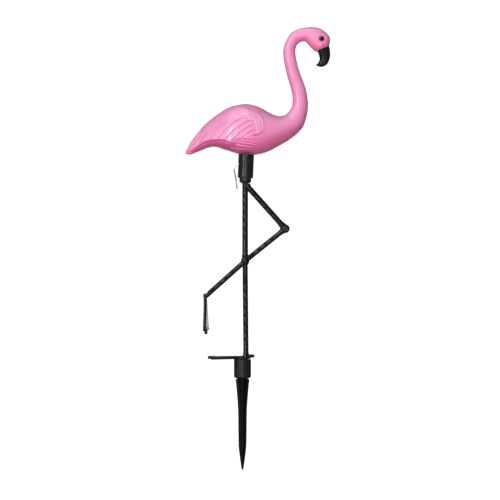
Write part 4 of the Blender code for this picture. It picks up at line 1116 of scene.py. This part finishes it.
def gloss_range(tree, grain, low, high, scuff=None, share=0.0):
    """Roughness that follows the clouding of the gloss and rises on scuffs."""
    rough = spread(tree, grain["Gloss"], 0.0, 1.0, low, high)
    return work_out(tree, "ADD", rough, times(tree, scuff, share)) if scuff else rough


def feed_shader(tree, shader, base, rough, *bumps):
    """Link colour, roughness and bumps of a height, strength and distance each."""
    tree.links.new(base, shader.inputs["Base Color"])
    tree.links.new(rough, shader.inputs["Roughness"])
    normal = None
    for height, strength, distance in bumps:
        links = {"Height": height, "Strength": strength, "Distance": distance}
        if normal:
            links["Normal"] = normal
        normal = place_node(tree, "Bump", links).outputs[0]
    tree.links.new(normal, shader.inputs["Normal"])


def painted_housing_shadow(tree):
    """Mask of the painted shadow round the body's seat on the housing, wider along the bird than
    down it.
    """
    centre = SEAT + HOUSING_AXIS * (HOUSING_PLUG * 0.35)
    offset = place_node(tree, "VectorMath", {0: own_place(tree), 1: tuple(centre)},
                        operation="SUBTRACT").outputs[0]
    sizes = place_node(tree, "VectorMath", {0: offset, 1: (95.0, 45.0, 190.0)},
                       operation="MULTIPLY").outputs[0]
    reach = place_node(tree, "VectorMath", {0: sizes}, operation="LENGTH")
    return spread(tree, reach.outputs["Value"], 1.20, 0.55)


def pink_finish():
    """Glossy pink shell: clouded pigment, with painted shade in the feather grooves, a painted
    shadow over the housing, a painted highlight on the ridges and a painted sheen on faces that
    look up.
    """
    material, tree, shader = start_material(
        "pink_shell_finish", IOR=1.55, Coat_Weight=0.62, Coat_Roughness=0.12,
        Subsurface_Weight=0.18, Subsurface_Radius=(0.9, 0.5, 0.65), Subsurface_Scale=0.0018)
    grain = use_group(tree, "moulded_grain", Cloud_Scale=34.0, Grain_Scale=1500.0)
    scuff = use_mask(tree, "fine_scuffs", 70.0, 0.6)
    line = use_group(tree, "parting_line", Half_Width=0.00025)["Line"]
    relief_for_light = own_field(tree, "relief_for_painted_light")
    ridge = spread(tree, relief_for_light, 0.62, 0.92)
    # Painted sheen: the pink is paler on faces that look up and deeper on faces that look down.
    base = mix_colour(tree, spread(tree, looks_up(tree), -0.70, 0.40),
                      tint(240, 112, 168), tint(246, 158, 204))
    base = laid_over(tree, base, grain["Cloud"], (236, 120, 172), 0.15)
    # Painted shade: deeper pink where the relief sinks into grooves and hollows.
    base = laid_over(tree, base, spread(tree, relief_for_light, 0.50, 0.36), (205, 74, 134), 0.75)
    # Painted highlight: paler pink along the raised ridges.
    base = laid_over(tree, base, ridge, (248, 182, 218), 0.55)
    # Painted shadow: deep magenta on the belly over the housing.
    base = laid_over(tree, base, painted_housing_shadow(tree), (158, 30, 86), 0.62)
    base = laid_over(tree, base, use_mask(tree, "edge_wear", 420.0, 0.22), (248, 190, 218))
    base = laid_over(tree, base, use_mask(tree, "settled_dust", 300.0, 0.10), (214, 198, 200))
    rough = gloss_range(tree, grain, 0.38, 0.46, scuff, 0.10)
    rough = work_out(tree, "SUBTRACT", rough, times(tree, ridge, 0.14))
    feed_shader(tree, shader, base, rough, (grain["Grain"], 0.04, 0.0001),
                (grain["Gloss"], 0.03, 0.0004), (line, 0.35, 0.0002))
    return material


def black_finish(name, dark, light, gloss, grain_scale, grain_depth, wear_colour, wear_amount,
                 index=1.42, coat=0.0):
    """Black or charcoal moulded plastic with clouding, wear, dust, scuffs and a mould line."""
    material, tree, shader = start_material(name, IOR=index, Coat_Weight=coat,
                                            Coat_Roughness=0.10)
    grain = use_group(tree, "moulded_grain", Cloud_Scale=85.0, Grain_Scale=grain_scale)
    scuff = use_mask(tree, "fine_scuffs", 120.0, 0.8)
    line = use_group(tree, "parting_line", Half_Width=0.00018)["Line"]
    base = mix_colour(tree, grain["Cloud"], tint(*dark), tint(*light))
    base = laid_over(tree, base, use_mask(tree, "edge_wear", 900.0, wear_amount), wear_colour)
    base = laid_over(tree, base, use_mask(tree, "settled_dust", 420.0, 0.10), (150, 144, 136))
    base = laid_over(tree, base, scuff, wear_colour, 0.12)
    feed_shader(tree, shader, base, gloss_range(tree, grain, *gloss, scuff, 0.10),
                (grain["Grain"], grain_depth, 0.00004), (line, 0.3, 0.0001))
    return material


def eye_finish():
    """Wet black bead with a deep maroon rim round the pupil."""
    material, tree, shader = start_material("eye_bead_finish", IOR=1.36, Coat_Weight=0.10,
                                            Coat_Roughness=0.05)
    grain = use_group(tree, "moulded_grain", Cloud_Scale=400.0, Grain_Scale=4000.0)
    rim = mix_colour(tree, grain["Cloud"], tint(92, 14, 54), tint(60, 8, 36))
    base = laid_over(tree, rim, own_field(tree, "pupil"), (30, 4, 19))
    feed_shader(tree, shader, base, gloss_range(tree, grain, 0.08, 0.16),
                (grain["Grain"], 0.02, 0.0001))
    return material


def panel_finish():
    """Dark blue cells with fine silver fingers in a black tray, under clear resin."""
    material, tree, shader = start_material("solar_cell_finish", IOR=1.5, Coat_Weight=1.0,
                                            Coat_Roughness=0.05)
    grain = use_group(tree, "moulded_grain", Cloud_Scale=220.0, Grain_Scale=2600.0)
    scuff = use_mask(tree, "fine_scuffs", 140.0, 0.5)
    fingers_per_metre = 640.0
    across = times(tree, split(tree, own_place(tree), 1), fingers_per_metre)
    finger = near_half(tree, work_out(tree, "FRACT", across), 0.10, 0.05)
    blue = mix_colour(tree, grain["Cloud"], tint(18, 26, 58), tint(30, 40, 84))
    blue = laid_over(tree, blue, finger, (150, 156, 168), 0.55)
    base = mix_colour(tree, own_field(tree, "cell_face"), tint(16, 16, 18), blue)
    base = laid_over(tree, base, use_mask(tree, "settled_dust", 500.0, 0.12), (170, 165, 156))
    feed_shader(tree, shader, base, gloss_range(tree, grain, 0.20, 0.30, scuff, 0.15),
                (grain["Grain"], 0.06, 0.0001), (finger, 0.15, 0.0001))
    return material


def film_finish():
    """Clear strip that is milkier and greyer along its two cut edges."""
    material, tree, shader = start_material("clear_film_finish", IOR=1.46,
                                            Transmission_Weight=0.40)
    grain = use_group(tree, "moulded_grain", Cloud_Scale=260.0, Grain_Scale=1500.0)
    scuff = use_mask(tree, "fine_scuffs", 160.0, 0.8)
    base = mix_colour(tree, grain["Cloud"], tint(240, 240, 240), tint(248, 248, 248))
    base = laid_over(tree, base, own_field(tree, "strip_edge"), (176, 176, 178))
    feed_shader(tree, shader, base, gloss_range(tree, grain, 0.10, 0.18, scuff, 0.15),
                (grain["Gloss"], 0.1, 0.0003))
    return material


# Stage

def seen_white(tree, dim, white):
    """One shader for the room's light, another where the camera looks, also through the tab."""
    rays = place_node(tree, "LightPath").outputs
    seen = work_out(tree, "MAXIMUM", rays["Is Camera Ray"], rays["Is Transmission Ray"])
    return place_node(tree, "MixShader", {0: seen, 1: dim, 2: white}).outputs[0]


def make_stage():
    """Seamless pale sweep under and behind the light."""
    low, rear = cad_box[0].z, 2.9
    bpy.ops.mesh.primitive_plane_add(size=1.0)
    sweep = new_piece("pale_sweep")
    sweep.data.transform(Matrix.Translation((0, 0, low)) @ Matrix.Diagonal((7.0, 6.0, 1.0, 1.0)))

    def at_rear(edge, top=math.inf):
        ends = [sweep.data.vertices[index].co for index in edge.vertices]
        return all(end.y > rear and end.z < top for end in ends)

    pick_parts(sweep, "EDGE", at_rear)
    with editing(pick=None):
        bpy.ops.mesh.extrude_region_move(TRANSFORM_OT_translate={"value": (0, 0, 4.0)})
    pick_parts(sweep, "EDGE", lambda edge: at_rear(edge, low + 0.1))
    with editing(pick=None):
        bpy.ops.mesh.bevel(offset=1.2, segments=16)
    bpy.ops.object.shade_smooth_by_angle(angle=math.radians(60))
    material = bpy.data.materials.new("pale_sweep_paper")
    material.use_nodes = True
    tree = material.node_tree
    tree.nodes.clear()
    paper = place_node(tree, "BsdfDiffuse", {"Color": (0.50, 0.50, 0.50, 1)}).outputs[0]
    glow = place_node(tree, "Emission", {"Color": (1, 1, 1, 1), "Strength": 1.02})
    both = place_node(tree, "AddShader", {0: paper, 1: glow.outputs[0]}).outputs[0]
    place_node(tree, "OutputMaterial", {0: seen_white(tree, paper, both)})
    sweep.data.materials.append(material)


def soft_light(name, place, aim, width, height, power, mirrored=True):
    """Rectangular softbox aimed at a place; a fill isn't mirrored in the glossy plastic."""
    lamp = bpy.data.lights.new(name, "AREA")
    lamp.shape = "RECTANGLE"
    lamp.size, lamp.size_y = width, height
    lamp.energy = power
    item = bpy.data.objects.new(name, lamp)
    item.location = place
    item.rotation_mode = "QUATERNION"
    item.rotation_quaternion = (Vector(aim) - Vector(place)).to_track_quat("-Z", "Y")
    item.visible_camera = False
    item.visible_glossy = mirrored
    bpy.context.scene.collection.objects.link(item)


def make_light_and_camera():
    """Softboxes, a dim room that the camera sees as white, and the level camera."""
    aim, low_aim, rump = (0.0, 0.0, 0.18), (0.0, 0.0, 0.12), (0.04, 0.0, 0.20)
    soft_light("key_softbox", (-1.00, -1.36, 0.80), aim, 0.20, 1.10, 15.0)
    soft_light("front_softbox", (-0.12, -2.20, 0.17), low_aim, 0.42, 0.58, 6.0)
    soft_light("top_softbox", (-0.35, -0.30, 1.45), aim, 0.90, 0.90, 3.6)
    soft_light("left_fill", (-0.80, -1.75, 0.00), low_aim, 1.10, 1.50, 4.5, mirrored=False)
    soft_light("right_fill", (1.20, -1.80, 0.14), low_aim, 1.80, 0.50, 6.0, mirrored=False)
    soft_light("low_fill", (0.20, -1.50, 0.00), rump, 0.90, 0.22, 4.6, mirrored=False)
    soft_light("edge_softbox", (0.14, 1.5, 0.08), (0.0, 0.0, 0.05), 0.64, 0.36, 1.3)
    scene = bpy.context.scene
    world = bpy.data.worlds.new("studio_room")
    scene.world = world
    world.use_nodes = True
    tree = world.node_tree
    tree.nodes.clear()
    dim = place_node(tree, "Background", {0: (0.98, 0.98, 1.0, 1), 1: 0.12}).outputs[0]
    white = place_node(tree, "Background", {0: (1, 1, 1, 1), 1: 1.0}).outputs[0]
    place_node(tree, "OutputWorld", {0: seen_white(tree, dim, white)})
    camera = bpy.data.cameras.new("side_camera")
    camera.lens = CAMERA_LENS
    camera.sensor_width = 36.0
    item = bpy.data.objects.new("side_camera", camera)
    item.location = CAMERA_PLACE
    item.rotation_euler = (math.pi / 2, 0, 0)
    scene.collection.objects.link(item)
    scene.camera = item
    scene.view_settings.view_transform = "Standard"


def dress():
    """Make every piece, give it its finish and stand it in for its solid."""
    GROUPS["moulded_grain"] = grain_group()
    GROUPS["parting_line"] = parting_group()
    for name, scale, amount, label, mask in (
            ("edge_wear", 500.0, 0.5, "Wear", wear_mask),
            ("settled_dust", 320.0, 0.3, "Dust", dust_mask),
            ("fine_scuffs", 90.0, 0.5, "Scuff", scuff_mask)):
        GROUPS[name] = mask_group(name, scale, amount, label, mask)
    pink = pink_finish()
    eye = eye_finish()
    black = black_finish("black_gloss_finish", (13, 13, 13), (19, 19, 18), (0.24, 0.33), 1400.0,
                         0.03, (62, 60, 57), 0.18, coat=0.08)
    charcoal = black_finish("charcoal_finish", (27, 26, 29), (34, 33, 36), (0.24, 0.32), 2200.0,
                            0.04, (90, 88, 88), 0.25)
    collar = black_finish("collar_finish", (15, 15, 13), (20, 19, 17), (0.34, 0.42), 2200.0,
                          0.04, (80, 78, 74), 0.25)
    spike = black_finish("spike_finish", (6, 6, 6), (10, 10, 9), (0.50, 0.62), 2600.0,
                         0.30, (40, 39, 37), 0.25, index=1.28)
    pieces = (
        (make_bird_shell, (), "flamingo_body", "pink_plastic", pink),
        (make_beak, (), "beak", "black_gloss_plastic", black),
        (make_eye, ("right",), "eye_right", "eye_black", eye),
        (make_eye, ("left",), "eye_left", "eye_black", eye),
        (make_panel, (), "solar_panel", "solar_cell", panel_finish()),
        (make_housing, (), "battery_housing", "charcoal_plastic", charcoal),
        (make_pull_tab, (), "battery_pull_tab", "clear_film", film_finish()),
        (make_leg_frame, (), "leg_frame", "black_gloss_plastic", black),
        (make_standing_leg, (), "standing_leg", "black_gloss_plastic", black),
        (make_raised_foot, (), "raised_foot", "black_gloss_plastic", black),
        (make_collar, (), "spike_collar", "charcoal_plastic", collar),
        (make_spike, (), "ground_spike", "spike_plastic", spike),
    )
    for build, values, node_name, slot_name, material in pieces:
        piece = build(*values)
        mark_edges(piece)
        piece.data.materials.clear()
        piece.data.materials.append(material)
        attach(piece, "root")
        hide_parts(node_name)


dress()
make_stage()
make_light_and_camera()
